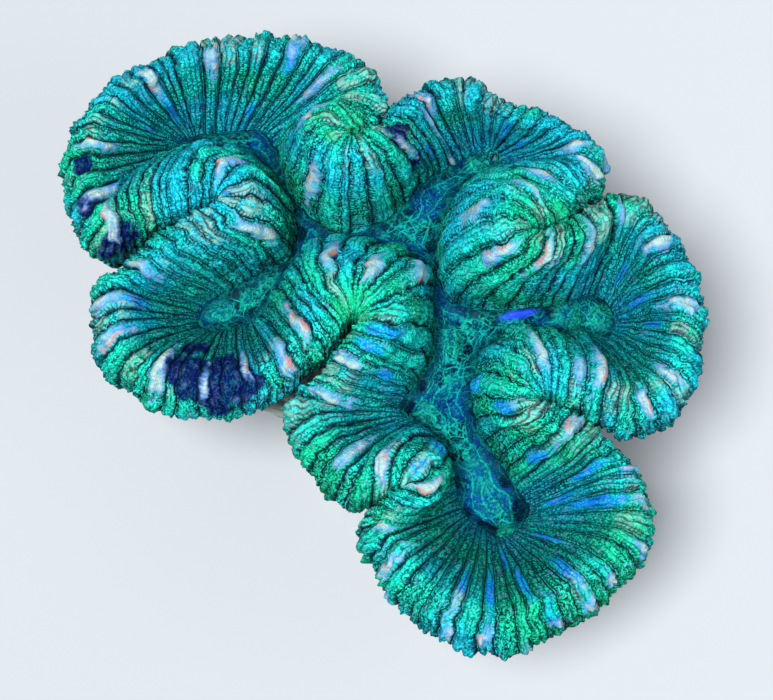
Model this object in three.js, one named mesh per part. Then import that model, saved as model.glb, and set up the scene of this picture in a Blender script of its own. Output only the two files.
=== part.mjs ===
import * as THREE from "three";

// Brain coral: one living piece, cut off flat underneath where it grew.
// Sizes are in millimetres, +Z is up and the flat cut lies on z = 0.
// The flesh is one sheet of ribs. Each rib runs from the valley floor up over the crest of the margin,
// out to its rim and down to the hem, and goes on below as the stony foot.

// The margin, clockwise from above, as lobes and the folds between them.
// A rib is its rim x and y, then the x and y where it meets the valley floor.
// crest and floor are heights above the cut; foot gives the bearings at the cut, in degrees.
const MARGIN = [
  {
    kind: "lobe",
    crest: 29.5,
    floor: 20,
    foot: [163, 92],
    ribs: [
      [-24.3, 8.4, -18.6, 20.6],
      [-26.2, 9.9, -18.8, 21.1],
      [-27.4, 12.8, -19.0, 21.6],
      [-28.1, 16.2, -19.0, 22.0],
      [-28.0, 19.4, -18.8, 22.4],
      [-26.5, 22.6, -18.6, 22.85],
      [-24.2, 25.1, -18.2, 23.15],
      [-21.0, 27.2, -17.5, 23.35],
      [-17.0, 28.6, -16.5, 23.65],
      [-12.6, 29.3, -14.5, 23.85],
      [-8.1, 29.2, -12.7, 24.05],
      [-4.5, 28.2, -11.4, 23.95],
      [-1.5, 26.1, -10.7, 23.55],
      [-0.1, 23.3, -10.3, 22.85],
    ],
  },
  {
    kind: "fold",
    crest: 32.5,
    floor: 22.3,
    foot: [92, 83],
    ribs: [
      [-0.6, 20.6, -9.9, 21.85],
      [-2.15, 19.3, -9.55, 20.85],
      [-3.1, 18.6, -9.1, 19.1],
      [-3.4, 18.1, -7.7, 15.3],
      [-3.0, 17.7, -3.7, 12.7],
      [-2.5, 17.85, 0.75, 14.75],
      [-1.8, 18.35, 2.8, 17.4],
      [-0.7, 19.3, 4.05, 18.8],
      [0.1, 21.3, 5.2, 19.85],
    ],
  },
  {
    kind: "lobe",
    crest: 29.5,
    floor: 20,
    foot: [83, 37],
    ribs: [
      [1.4, 23.4, 6.4, 20.75],
      [3.6, 24.7, 7.1, 21.35],
      [5.9, 25.2, 7.8, 21.65],
      [7.9, 24.8, 8.35, 21.75],
      [9.8, 23.6, 8.9, 21.85],
      [12.2, 22.3, 9.4, 21.75],
      [14.8, 21.5, 9.85, 21.45],
      [17.1, 20.2, 10.1, 21.05],
      [18.5, 18.55, 10.1, 20.65],
      [18.9, 16.35, 9.85, 20.25],
      [18.6, 14.85, 9.4, 19.85],
    ],
  },
  {
    kind: "fold",
    crest: 32.5,
    floor: 22.3,
    foot: [37, 28],
    ribs: [
      [17.5, 13.65, 8.6, 19.1],
      [16.3, 12.3, 7.6, 18.25],
      [15.2, 10.85, 6.75, 17.25],
      [14.15, 9.95, 5.85, 15.75],
      [13.1, 9.6, 4.75, 13.1],
      [12.55, 9.1, 4.4, 9.35],
      [12.9, 8.7, 5.6, 6.3],
      [13.7, 8.75, 8.65, 5.35],
      [14.65, 9.2, 11.75, 5.45],
      [15.75, 10.1, 14.2, 6.05],
      [16.95, 11.6, 16.1, 6.85],
      [18.3, 13.2, 17.6, 7.6],
    ],
  },
  {
    kind: "lobe",
    crest: 28.3,
    floor: 20,
    foot: [28, -21],
    ribs: [
      [20.5, 14.85, 18.5, 7.7],
      [22.75, 13.6, 19.05, 7.4],
      [24.7, 11.15, 19.45, 7.0],
      [26.15, 8.15, 19.8, 6.45],
      [27.1, 4.55, 20.0, 5.8],
      [27.0, 1.1, 20.1, 5.0],
      [26.35, -2.3, 19.9, 4.35],
      [25.15, -5.05, 19.45, 3.85],
      [23.1, -6.8, 18.8, 3.6],
      [20.55, -7.25, 18.2, 3.7],
      [18.8, -6.75, 17.45, 3.85],
    ],
  },
  {
    kind: "fold",
    crest: 30,
    floor: 22.3,
    foot: [-21, -30],
    ribs: [
      [17.4, -6.1, 16.45, 4.1],
      [16.0, -5.6, 15.35, 3.65],
      [14.7, -5.25, 13.85, 3.2],
      [13.7, -5.0, 11.25, 3.35],
      [13.0, -5.05, 8.35, 1.3],
      [12.6, -5.5, 7.45, -1.8],
      [12.95, -6.0, 7.6, -5.1],
      [13.85, -6.1, 8.7, -7.4],
      [14.85, -6.3, 9.8, -8.95],
      [16.35, -6.6, 10.8, -10.2],
      [18.0, -7.1, 11.5, -11.1],
    ],
  },
  {
    kind: "lobe",
    crest: 26,
    floor: 20.3,
    foot: [-30, -94],
    ribs: [
      [19.85, -8.0, 11.9, -11.6],
      [21.3, -10.05, 12.15, -12.1],
      [21.9, -12.8, 12.15, -12.7],
      [22.05, -15.85, 11.9, -13.3],
      [20.85, -18.7, 11.45, -13.85],
      [18.6, -21.05, 10.95, -14.3],
      [16.1, -23.0, 10.35, -14.7],
      [13.4, -24.55, 9.75, -14.85],
      [10.55, -25.65, 9.15, -14.75],
      [7.65, -25.65, 8.55, -14.4],
      [4.85, -24.6, 7.95, -14.0],
      [2.35, -22.95, 7.35, -13.55],
      [0.45, -20.9, 6.85, -13.1],
      [-1.05, -18.45, 6.5, -12.55],
      [-1.9, -16.7, 6.25, -12.0],
      [-2.2, -15.4, 6.05, -11.4],
    ],
  },
  {
    kind: "fold",
    crest: 29,
    floor: 22,
    foot: [-94, -102],
    ribs: [
      [-1.5, -14.5, 5.95, -10.7],
      [-0.3, -14.0, 5.8, -10.2],
      [0.9, -13.55, 5.55, -9.5],
      [1.4, -13.2, 5.2, -8.4],
      [1.0, -12.95, 4.65, -7.25],
      [-0.1, -13.1, 3.95, -6.3],
      [-1.3, -13.3, 3.25, -5.6],
    ],
  },
  {
    kind: "lobe",
    crest: 27,
    floor: 22,
    foot: [-102, -139],
    ribs: [
      [-2.8, -13.5, 2.65, -5.05],
      [-4.65, -12.15, 2.1, -4.9],
      [-6.25, -10.6, 1.7, -4.7],
      [-7.5, -8.5, 1.35, -4.4],
      [-8.4, -6.25, 1.1, -4.1],
      [-8.2, -4.7, 1.0, -3.75],
      [-7.4, -3.6, 1.1, -3.35],
    ],
  },
  {
    kind: "fold",
    crest: 31.5,
    floor: 22.5,
    foot: [-139, -150],
    ribs: [
      [-6.35, -2.85, 1.35, -3.0],
      [-5.3, -1.85, 1.9, -2.35],
      [-4.25, -1.0, 2.5, -1.7],
      [-3.2, -0.25, 3.2, -0.6],
      [-2.5, 0.4, 3.9, 1.3],
      [-2.15, 1.0, 4.05, 4.55],
      [-2.2, 1.5, 3.95, 8.2],
      [-2.55, 1.75, 1.65, 10.4],
      [-3.0, 1.7, -1.9, 11.4],
      [-3.4, 1.3, -5.45, 11.7],
      [-3.75, 0.75, -7.45, 10.4],
      [-4.3, 0.05, -8.55, 8.9],
      [-5.35, -0.95, -9.55, 7.3],
      [-6.4, -1.85, -10.4, 6.1],
      [-7.5, -2.6, -11.3, 5.4],
    ],
  },
  {
    kind: "lobe",
    crest: 27.5,
    floor: 20.5,
    foot: [-150, -189],
    ribs: [
      [-9.1, -3.8, -12.05, 4.9],
      [-11.1, -4.75, -12.8, 4.75],
      [-13.65, -5.05, -13.7, 4.35],
      [-16.45, -4.95, -14.55, 4.2],
      [-19.2, -4.5, -15.35, 4.2],
      [-21.7, -3.45, -15.95, 4.35],
      [-23.6, -1.9, -16.3, 4.65],
      [-24.8, 0.4, -16.55, 5.0],
      [-25.3, 3.2, -16.65, 5.5],
      [-25.0, 5.8, -16.45, 6.0],
      [-24.0, 7.2, -16.15, 6.35],
    ],
  },
  {
    kind: "fold",
    crest: 31,
    floor: 21.8,
    foot: [-189, -197],
    ribs: [
      [-22.6, 7.95, -15.55, 6.85],
      [-21.4, 8.6, -14.65, 7.3],
      [-20.0, 9.35, -13.65, 7.6],
      [-18.45, 10.1, -12.55, 8.3],
      [-16.8, 10.9, -11.35, 8.9],
      [-15.5, 11.5, -10.0, 9.65],
      [-14.6, 12.0, -8.35, 10.7],
      [-14.3, 12.45, -7.75, 12.75],
      [-14.75, 12.8, -8.55, 15.7],
      [-15.75, 12.45, -10.45, 18.85],
      [-17.1, 11.95, -13.1, 20.75],
      [-18.7, 11.2, -15.65, 21.45],
      [-20.4, 10.55, -17.35, 21.25],
      [-22.0, 9.7, -18.2, 20.85],
      [-23.3, 8.9, -18.5, 20.65],
    ],
  },
];

// Shape of the flesh, for a lobe and for the end of a fold
const CREST_INSIDE = [2.3, 1.8]; // how far the crest lies inside the outline, in plan
const SHOULDER_INSIDE = [0.6, 0.35]; // the same between the crest and the rim
const SHOULDER_DROP = [1.3, 0.6]; // from the crest down
const RIM_INSIDE = [0, -0.15]; // the same for the rim, where the ridges make up the rest
const RIM_DROP = [3.6, 1.6];
const HEM_INSIDE = [1.1, 0.1]; // the rounded lower edge of the flesh
const HEM_DROP = [5.6, 6];
const TUCK_INSIDE = [3, 1.2]; // where the flesh ends on the stone
const TUCK_DROP = [7.4, 9]; // the least, since the flesh also ends below the valley floor inside it
const FLOOR_COVER = 1.2; // stone under the valley floor
const SLOPE_POWER = [1.5, 2.2]; // roundness of the inner slope
const SLOPE_ROOT = [1.15, 1.6];
const RIB_TURN = 0.35; // how far a rib keeps square to the rim before it bends to the valley floor
const RIB_LEAN = 0.35; // how far it leans to the valley floor at the rim

// Fine ridges that run along every rib
const COLUMNS = 480; // two to a ridge
const RIDGE_SHARE = 0.34; // height of a ridge as a share of its spacing
const RIDGE_MOST = 0.42;
const STRONG_EVERY = 4; // every fourth ridge stands out
const FLOOR_WEIGHT = 0.7; // how much the floor line counts, beside the crest, in spacing the columns

// Stony foot
const FOOT_CENTRE = new THREE.Vector2(3.5, 4.5);
const FOOT_RADIUS_X = 11;
const FOOT_RADIUS_Y = 10;
const FOOT_WAIST = 2.2; // over 1 draws the foot in quickly under the flesh
const COSTA_HEIGHT = 0.35; // ribs of the bare stone

// Raised mouths on the valley floor: x, y, radius and height
const MOUTHS = [
  [15.8, 5.35, 0.95, 0.9],
  [18.7, 5.6, 0.85, 0.7],
  [11.4, 4.4, 0.75, 0.6],
  [5.7, 2.6, 0.9, 0.7],
  [3.4, -4.0, 0.85, 0.6],
  [7.2, -9.3, 1.15, 1.0],
  [9.2, -12.2, 0.85, 0.8],
  [8.2, 20.3, 0.8, 0.8],
  [-14.6, 5.8, 0.75, 0.7],
  [-11.9, 7.0, 0.6, 0.6],
];
const MOUTH_SIDES = 8;

const RIBS = MARGIN.flatMap((section) => section.ribs);

// Smooth closed line through one end of every rib.
function ribLine(ix, iy) {
  const points = RIBS.map((rib) => new THREE.Vector3(rib[ix], rib[iy], 0));
  return new THREE.CatmullRomCurve3(points, true, "centripetal");
}

const rimLine = ribLine(0, 1);
const floorLine = ribLine(2, 3);

// The sections with their place along the list of ribs.
function placeSections() {
  let start = 0;
  return MARGIN.map((section, i) => {
    const count = section.ribs.length;
    const fold = section.kind === "fold";
    const placed = {
      ...section,
      from: fold ? start - 1 : start,
      to: fold ? start + count : start + count - 1,
      before: MARGIN[(i + MARGIN.length - 1) % MARGIN.length],
      after: MARGIN[(i + 1) % MARGIN.length],
    };
    start += count;
    return placed;
  });
}

const SECTIONS = placeSections();

// Heights, fold share and foot bearing at a place along the margin, given in ribs.
function levelsAt(place) {
  const section = SECTIONS.find((s) => place >= s.from && place <= s.to);
  const along = (place - section.from) / (section.to - section.from);
  const bearing = THREE.MathUtils.lerp(section.foot[0], section.foot[1], along);
  if (section.kind === "lobe") {
    return { crest: section.crest, floor: section.floor, fold: 0, bearing };
  }
  const fold = Math.min(1, 1.15 * Math.sin(Math.PI * along));
  const blend = (key) => {
    const beside = THREE.MathUtils.lerp(section.before[key], section.after[key], along);
    return THREE.MathUtils.lerp(beside, section[key], fold);
  };
  return { crest: blend("crest"), floor: blend("floor"), fold, bearing };
}

// Everything about the rib at a place along the margin that its rows need.
function ribAt(place) {
  const share = (ribs) => (((ribs / RIBS.length) % 1) + 1) % 1;
  const u = share(place);
  const level = levelsAt(u * RIBS.length);
  const rim = rimLine.getPoint(u);
  const floor = floorLine.getPoint(u);
  const along = rimLine.getPoint(share(place + 0.6)).sub(rimLine.getPoint(share(place - 0.6)));
  const square = new THREE.Vector3(along.y, -along.x, 0).normalize();
  const inward = square.lerp(floor.clone().sub(rim).normalize(), RIB_LEAN).normalize();
  const pick = ([lobe, end]) => THREE.MathUtils.lerp(lobe, end, level.fold);
  return { level, rim, floor, inward, pick };
}

// A point out on the rim side of the rib: a distance inside the outline and a drop below the crest.
function outer(rib, inside, drop) {
  return rib.rim.clone().addScaledVector(rib.inward, inside).setZ(rib.level.crest - drop);
}

// A point of the inner slope, from the crest at share 0 to the valley floor at share 1.
function slope(rib, share) {
  const crest = outer(rib, rib.pick(CREST_INSIDE), 0);
  const reach = Math.hypot(rib.floor.x - crest.x, rib.floor.y - crest.y);
  const bend = crest.clone().addScaledVector(rib.inward, RIB_TURN * reach);
  const curve = new THREE.QuadraticBezierCurve3(crest, bend, rib.floor.clone());
  const height = Math.pow(1 - Math.pow(share, rib.pick(SLOPE_POWER)), 1 / rib.pick(SLOPE_ROOT));
  return curve.getPoint(share).setZ(THREE.MathUtils.lerp(rib.level.floor, rib.level.crest, height));
}

// A point of the stony foot, from the end of the flesh at share 0 to the cut at share 1.
function foot(rib, share) {
  const drop = Math.max(rib.pick(TUCK_DROP), rib.level.crest - rib.level.floor + FLOOR_COVER);
  const top = outer(rib, rib.pick(TUCK_INSIDE), drop);
  const angle = THREE.MathUtils.degToRad(rib.level.bearing);
  const x = FOOT_CENTRE.x + FOOT_RADIUS_X * Math.cos(angle);
  const y = FOOT_CENTRE.y + FOOT_RADIUS_Y * Math.sin(angle);
  const drawn = 1 - Math.pow(1 - share, FOOT_WAIST);
  return new THREE.Vector3(
    THREE.MathUtils.lerp(top.x, x, drawn),
    THREE.MathUtils.lerp(top.y, y, drawn),
    THREE.MathUtils.lerp(top.z, 0, share),
  );
}

// Rows of the sheet from the valley floor to the cut. ridge is how much of the ridge shows on a lobe and
// at the end of a fold, step is how many columns one point of the row stands for.
const outerRow = (inside, drop) => (rib) => outer(rib, rib.pick(inside), rib.pick(drop));
const ROWS = [
  { step: 2, ridge: [0, 0], shape: (r) => slope(r, 1) },
  { step: 1, ridge: [0.8, 0.8], shape: (r) => slope(r, 0.84) },
  { step: 1, ridge: [1, 1], shape: (r) => slope(r, 0.58) },
  { step: 1, ridge: [1, 1], shape: (r) => slope(r, 0.28) },
  { step: 1, ridge: [1, 1], shape: (r) => slope(r, 0) },
  { step: 1, ridge: [1, 0.7], shape: outerRow(SHOULDER_INSIDE, SHOULDER_DROP) },
  { step: 1, ridge: [0.9, 0.2], shape: outerRow(RIM_INSIDE, RIM_DROP) },
  { step: 1, ridge: [0.8, 0.1], shape: outerRow(HEM_INSIDE, HEM_DROP) },
  { step: 2, ridge: [0, 0], shape: (r) => foot(r, 0) },
  { step: 2, ridge: [0, 0], costa: true, shape: (r) => foot(r, 0.3) },
  { step: 2, ridge: [0, 0], costa: true, shape: (r) => foot(r, 0.65) },
  { step: 4, ridge: [0, 0], shape: (r) => foot(r, 1) },
];
const CREST_ROW = 4;

function sheetPoint(place, row) {
  return ROWS[row].shape(ribAt(place));
}

// Places of the columns, spaced evenly along the rim and the floor taken together.
function columnPlaces() {
  const samples = 6000;
  const total = [0];
  for (let i = 1; i <= samples; i++) {
    const a = ((i - 1) / samples) * RIBS.length;
    const b = (i / samples) * RIBS.length;
    const crest = sheetPoint(a, CREST_ROW).distanceTo(sheetPoint(b, CREST_ROW));
    const floor = FLOOR_WEIGHT * sheetPoint(a, 0).distanceTo(sheetPoint(b, 0));
    total.push(total[i - 1] + Math.pow(crest ** 4 + floor ** 4, 0.25));
  }
  const places = [];
  let i = 0;
  for (let c = 0; c < COLUMNS; c++) {
    const wanted = (c / COLUMNS) * total[samples];
    while (total[i + 1] < wanted) {
      i++;
    }
    const share = (wanted - total[i]) / (total[i + 1] - total[i]);
    places.push(((i + share) / samples) * RIBS.length);
  }
  return places;
}

// One row of points with its ridges raised along the surface.
function makeRow(places, index) {
  const row = ROWS[index];
  const above = Math.max(index - 1, 0);
  const below = Math.min(index + 1, ROWS.length - 1);
  const points = [];
  for (let c = 0; c < COLUMNS; c += row.step) {
    const next = places[(c + 1) % COLUMNS] + (c + 1 >= COLUMNS ? RIBS.length : 0);
    const last = places[(c + COLUMNS - 1) % COLUMNS] - (c === 0 ? RIBS.length : 0);
    const rib = ribAt(places[c]);
    const along = sheetPoint(next, index).sub(sheetPoint(last, index));
    const pitch = along.length();
    const down = ROWS[below].shape(rib).sub(ROWS[above].shape(rib));
    const normal = along.cross(down).normalize();
    const ridge = Math.floor(c / 2);
    const strong = ridge % STRONG_EVERY === 0 ? 1 : 0.62;
    const side = c % 2 === 0 ? strong : -0.8;
    const height = Math.min(RIDGE_MOST, RIDGE_SHARE * pitch) * rib.pick(row.ridge) * side;
    const costa = row.costa ? COSTA_HEIGHT * (ridge % 2 === 0 ? 1 : -1) : 0;
    points.push(row.shape(rib).addScaledVector(normal, height + costa));
  }
  return points;
}

// Collects points and the triangles between them.
class Skin {
  constructor() {
    this.points = [];
    this.faces = [];
  }

  addRing(points) {
    const first = this.points.length;
    this.points.push(...points);
    return points.map((_, i) => first + i);
  }

  // Joins two closed rings that run clockwise from above; lower is the one further out or down.
  join(upper, lower) {
    let i = 0;
    let j = 0;
    while (i < upper.length || j < lower.length) {
      const a = upper[i % upper.length];
      const b = lower[j % lower.length];
      if (j >= lower.length || (i < upper.length && (i + 1) * lower.length <= (j + 1) * upper.length)) {
        i++;
        this.faces.push([a, upper[i % upper.length], b]);
      } else {
        j++;
        this.faces.push([a, lower[j % lower.length], b]);
      }
    }
  }

  // Fills a ring, with holes left open, facing up or down.
  fill(ring, holes, up) {
    const flat = (ids) => ids.map((id) => new THREE.Vector2(this.points[id].x, this.points[id].y));
    const ids = [ring, ...holes].flat();
    for (const [a, b, c] of THREE.ShapeUtils.triangulateShape(flat(ring), holes.map(flat))) {
      const [pa, pb, pc] = flat([ids[a], ids[b], ids[c]]);
      const turn = pb.clone().sub(pa).cross(pc.clone().sub(pa));
      this.faces.push(turn > 0 === up ? [ids[a], ids[b], ids[c]] : [ids[a], ids[c], ids[b]]);
    }
  }

  geometry() {
    const geometry = new THREE.BufferGeometry().setFromPoints(this.points);
    geometry.setIndex(this.faces.flat());
    geometry.computeVertexNormals();
    return geometry;
  }
}

// Height of the valley floor at a point, the mean of the floor line weighted by nearness.
function floorHeight(x, y, ring) {
  let sum = 0;
  let weights = 0;
  for (const point of ring) {
    const weight = 1 / ((point.x - x) ** 2 + (point.y - y) ** 2 + 0.01) ** 2;
    sum += weight * point.z;
    weights += weight;
  }
  return sum / weights;
}

// A mouth: a low mound with a small dip on top. Returns its foot ring, which is a hole in the floor.
function addMouth(skin, [x, y, radius, height], floorRing) {
  const z = floorHeight(x, y, floorRing);
  const ring = (share, lift) => {
    const points = [];
    for (let i = 0; i < MOUTH_SIDES; i++) {
      const angle = (-i / MOUTH_SIDES) * 2 * Math.PI;
      const px = x + share * radius * Math.cos(angle);
      const py = y + share * radius * Math.sin(angle);
      points.push(new THREE.Vector3(px, py, z + lift));
    }
    return skin.addRing(points);
  };
  const foot = ring(1, 0);
  const lip = ring(0.6, height);
  const dip = ring(0.2, 0.6 * height);
  skin.join(dip, lip);
  skin.join(lip, foot);
  skin.fill(dip, [], true);
  return foot;
}

function buildCoral() {
  const skin = new Skin();
  const places = columnPlaces();
  const rows = ROWS.map((_, index) => makeRow(places, index));
  const rings = rows.map((points) => skin.addRing(points));
  for (let i = 1; i < rings.length; i++) {
    skin.join(rings[i - 1], rings[i]);
  }
  const mouths = MOUTHS.map((mouth) => addMouth(skin, mouth, rows[0]));
  skin.fill(rings[0], mouths, true);
  skin.fill(rings[rings.length - 1], [], false);
  const flesh = new THREE.MeshStandardMaterial({ color: 0x1f8f86, roughness: 0.55, metalness: 0 });
  const coral = new THREE.Mesh(skin.geometry(), flesh);
  coral.name = "brain_coral";
  return coral;
}

const part = new THREE.Group();
part.add(buildCoral());

export default part;
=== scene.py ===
"""Looks of a brain coral, made round its solid model: flesh, valley floor, bare stone foot and a plain stage.

Sizes are millimetres, +Z up, with the flat cut on z = 0. A mesh is written in metres.
"""

import math

import bmesh
import bpy
import numpy as np
from bpy.props import FloatProperty, FloatVectorProperty, PointerProperty
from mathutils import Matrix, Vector, kdtree


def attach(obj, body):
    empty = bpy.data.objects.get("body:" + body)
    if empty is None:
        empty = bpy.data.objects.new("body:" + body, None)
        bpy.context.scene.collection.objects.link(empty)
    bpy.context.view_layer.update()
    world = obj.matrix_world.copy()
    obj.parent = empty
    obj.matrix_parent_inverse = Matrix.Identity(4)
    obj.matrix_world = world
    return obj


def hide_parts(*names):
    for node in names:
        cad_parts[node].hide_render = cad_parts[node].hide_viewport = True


bl_info = {
    "name": "Brain Coral",
    "version": (1, 0, 0),
    "blender": (4, 5, 0),
    "location": "3D View > Sidebar > Coral",
    "description": "Ridged flesh, winding valley floor and stone foot of a small brain coral",
    "category": "Add Mesh",
}

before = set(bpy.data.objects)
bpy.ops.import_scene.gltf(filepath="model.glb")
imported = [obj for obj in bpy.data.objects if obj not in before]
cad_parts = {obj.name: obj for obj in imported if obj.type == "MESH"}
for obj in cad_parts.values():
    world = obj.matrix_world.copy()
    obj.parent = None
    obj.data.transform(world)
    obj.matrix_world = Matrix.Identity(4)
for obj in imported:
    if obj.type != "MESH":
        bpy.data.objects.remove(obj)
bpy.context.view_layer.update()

MM = 0.001  # metres in a millimetre

# The margin, clockwise from above, as lobes and the folds between them: kind, heights of the crest and of
# the valley floor, bearings of the foot below in degrees, and the ribs. A rib is its rim x and y, then the
# x and y where it meets the valley floor.
MARGIN = [
    ("lobe", 29.5, 20, (163, 92), [
        (-24.3, 8.4, -18.6, 20.6), (-26.2, 9.9, -18.8, 21.1), (-27.4, 12.8, -19.0, 21.6),
        (-28.1, 16.2, -19.0, 22.0), (-28.0, 19.4, -18.8, 22.4), (-26.5, 22.6, -18.6, 22.85),
        (-24.2, 25.1, -18.2, 23.15), (-21.0, 27.2, -17.5, 23.35), (-17.0, 28.6, -16.5, 23.65),
        (-12.6, 29.3, -14.5, 23.85), (-8.1, 29.2, -12.7, 24.05), (-4.5, 28.2, -11.4, 23.95),
        (-1.5, 26.1, -10.7, 23.55), (-0.1, 23.3, -10.3, 22.85),
    ]),
    ("fold", 32.5, 22.3, (92, 83), [
        (-0.6, 20.6, -9.9, 21.85), (-2.15, 19.3, -9.55, 20.85), (-3.1, 18.6, -9.1, 19.1),
        (-3.4, 18.1, -7.7, 15.3), (-3.0, 17.7, -3.7, 12.7), (-2.5, 17.85, 0.75, 14.75),
        (-1.8, 18.35, 2.8, 17.4), (-0.7, 19.3, 4.05, 18.8), (0.1, 21.3, 5.2, 19.85),
    ]),
    ("lobe", 29.5, 20, (83, 37), [
        (1.4, 23.4, 6.4, 20.75), (3.6, 24.7, 7.1, 21.35), (5.9, 25.2, 7.8, 21.65),
        (7.9, 24.8, 8.35, 21.75), (9.8, 23.6, 8.9, 21.85), (12.2, 22.3, 9.4, 21.75),
        (14.8, 21.5, 9.85, 21.45), (17.1, 20.2, 10.1, 21.05), (18.5, 18.55, 10.1, 20.65),
        (18.9, 16.35, 9.85, 20.25), (18.6, 14.85, 9.4, 19.85),
    ]),
    ("fold", 32.5, 22.3, (37, 28), [
        (17.5, 13.65, 8.6, 19.1), (16.3, 12.3, 7.6, 18.25), (15.2, 10.85, 6.75, 17.25),
        (14.15, 9.95, 5.85, 15.75), (13.1, 9.6, 4.75, 13.1), (12.55, 9.1, 4.4, 9.35),
        (12.9, 8.7, 5.6, 6.3), (13.7, 8.75, 8.65, 5.35), (14.65, 9.2, 11.75, 5.45),
        (15.75, 10.1, 14.2, 6.05), (16.95, 11.6, 16.1, 6.85), (18.3, 13.2, 17.6, 7.6),
    ]),
    ("lobe", 28.3, 20, (28, -21), [
        (20.5, 14.85, 18.5, 7.7), (22.75, 13.6, 19.05, 7.4), (24.7, 11.15, 19.45, 7.0),
        (26.15, 8.15, 19.8, 6.45), (27.1, 4.55, 20.0, 5.8), (27.0, 1.1, 20.1, 5.0),
        (26.35, -2.3, 19.9, 4.35), (25.15, -5.05, 19.45, 3.85), (23.1, -6.8, 18.8, 3.6),
        (20.55, -7.25, 18.2, 3.7), (18.8, -6.75, 17.45, 3.85),
    ]),
    ("fold", 30, 22.3, (-21, -30), [
        (17.4, -6.1, 16.45, 4.1), (16.0, -5.6, 15.35, 3.65), (14.7, -5.25, 13.85, 3.2),
        (13.7, -5.0, 11.25, 3.35), (13.0, -5.05, 8.35, 1.3), (12.6, -5.5, 7.45, -1.8),
        (12.95, -6.0, 7.6, -5.1), (13.85, -6.1, 8.7, -7.4), (14.85, -6.3, 9.8, -8.95),
        (16.35, -6.6, 10.8, -10.2), (18.0, -7.1, 11.5, -11.1),
    ]),
    ("lobe", 26, 20.3, (-30, -94), [
        (19.85, -8.0, 11.9, -11.6), (21.3, -10.05, 12.15, -12.1), (21.9, -12.8, 12.15, -12.7),
        (22.05, -15.85, 11.9, -13.3), (20.85, -18.7, 11.45, -13.85), (18.6, -21.05, 10.95, -14.3),
        (16.1, -23.0, 10.35, -14.7), (13.4, -24.55, 9.75, -14.85), (10.55, -25.65, 9.15, -14.75),
        (7.65, -25.65, 8.55, -14.4), (4.85, -24.6, 7.95, -14.0), (2.35, -22.95, 7.35, -13.55),
        (0.45, -20.9, 6.85, -13.1), (-1.05, -18.45, 6.5, -12.55), (-1.9, -16.7, 6.25, -12.0),
        (-2.2, -15.4, 6.05, -11.4),
    ]),
    ("fold", 29, 22, (-94, -102), [
        (-1.5, -14.5, 5.95, -10.7), (-0.3, -14.0, 5.8, -10.2), (0.9, -13.55, 5.55, -9.5),
        (1.4, -13.2, 5.2, -8.4), (1.0, -12.95, 4.65, -7.25), (-0.1, -13.1, 3.95, -6.3),
        (-1.3, -13.3, 3.25, -5.6),
    ]),
    ("lobe", 27, 22, (-102, -139), [
        (-2.8, -13.5, 2.65, -5.05), (-4.65, -12.15, 2.1, -4.9), (-6.25, -10.6, 1.7, -4.7),
        (-7.5, -8.5, 1.35, -4.4), (-8.4, -6.25, 1.1, -4.1), (-8.2, -4.7, 1.0, -3.75),
        (-7.4, -3.6, 1.1, -3.35),
    ]),
    ("fold", 31.5, 22.5, (-139, -150), [
        (-6.35, -2.85, 1.35, -3.0), (-5.3, -1.85, 1.9, -2.35), (-4.25, -1.0, 2.5, -1.7),
        (-3.2, -0.25, 3.2, -0.6), (-2.5, 0.4, 3.9, 1.3), (-2.15, 1.0, 4.05, 4.55),
        (-2.2, 1.5, 3.95, 8.2), (-2.55, 1.75, 1.65, 10.4), (-3.0, 1.7, -1.9, 11.4),
        (-3.4, 1.3, -5.45, 11.7), (-3.75, 0.75, -7.45, 10.4), (-4.3, 0.05, -8.55, 8.9),
        (-5.35, -0.95, -9.55, 7.3), (-6.4, -1.85, -10.4, 6.1), (-7.5, -2.6, -11.3, 5.4),
    ]),
    ("lobe", 27.5, 20.5, (-150, -189), [
        (-9.1, -3.8, -12.05, 4.9), (-11.1, -4.75, -12.8, 4.75), (-13.65, -5.05, -13.7, 4.35),
        (-16.45, -4.95, -14.55, 4.2), (-19.2, -4.5, -15.35, 4.2), (-21.7, -3.45, -15.95, 4.35),
        (-23.6, -1.9, -16.3, 4.65), (-24.8, 0.4, -16.55, 5.0), (-25.3, 3.2, -16.65, 5.5),
        (-25.0, 5.8, -16.45, 6.0), (-24.0, 7.2, -16.15, 6.35),
    ]),
    ("fold", 31, 21.8, (-189, -197), [
        (-22.6, 7.95, -15.55, 6.85), (-21.4, 8.6, -14.65, 7.3), (-20.0, 9.35, -13.65, 7.6),
        (-18.45, 10.1, -12.55, 8.3), (-16.8, 10.9, -11.35, 8.9), (-15.5, 11.5, -10.0, 9.65),
        (-14.6, 12.0, -8.35, 10.7), (-14.3, 12.45, -7.75, 12.75), (-14.75, 12.8, -8.55, 15.7),
        (-15.75, 12.45, -10.45, 18.85), (-17.1, 11.95, -13.1, 20.75), (-18.7, 11.2, -15.65, 21.45),
        (-20.4, 10.55, -17.35, 21.25), (-22.0, 9.7, -18.2, 20.85), (-23.3, 8.9, -18.5, 20.65),
    ]),
]

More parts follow.
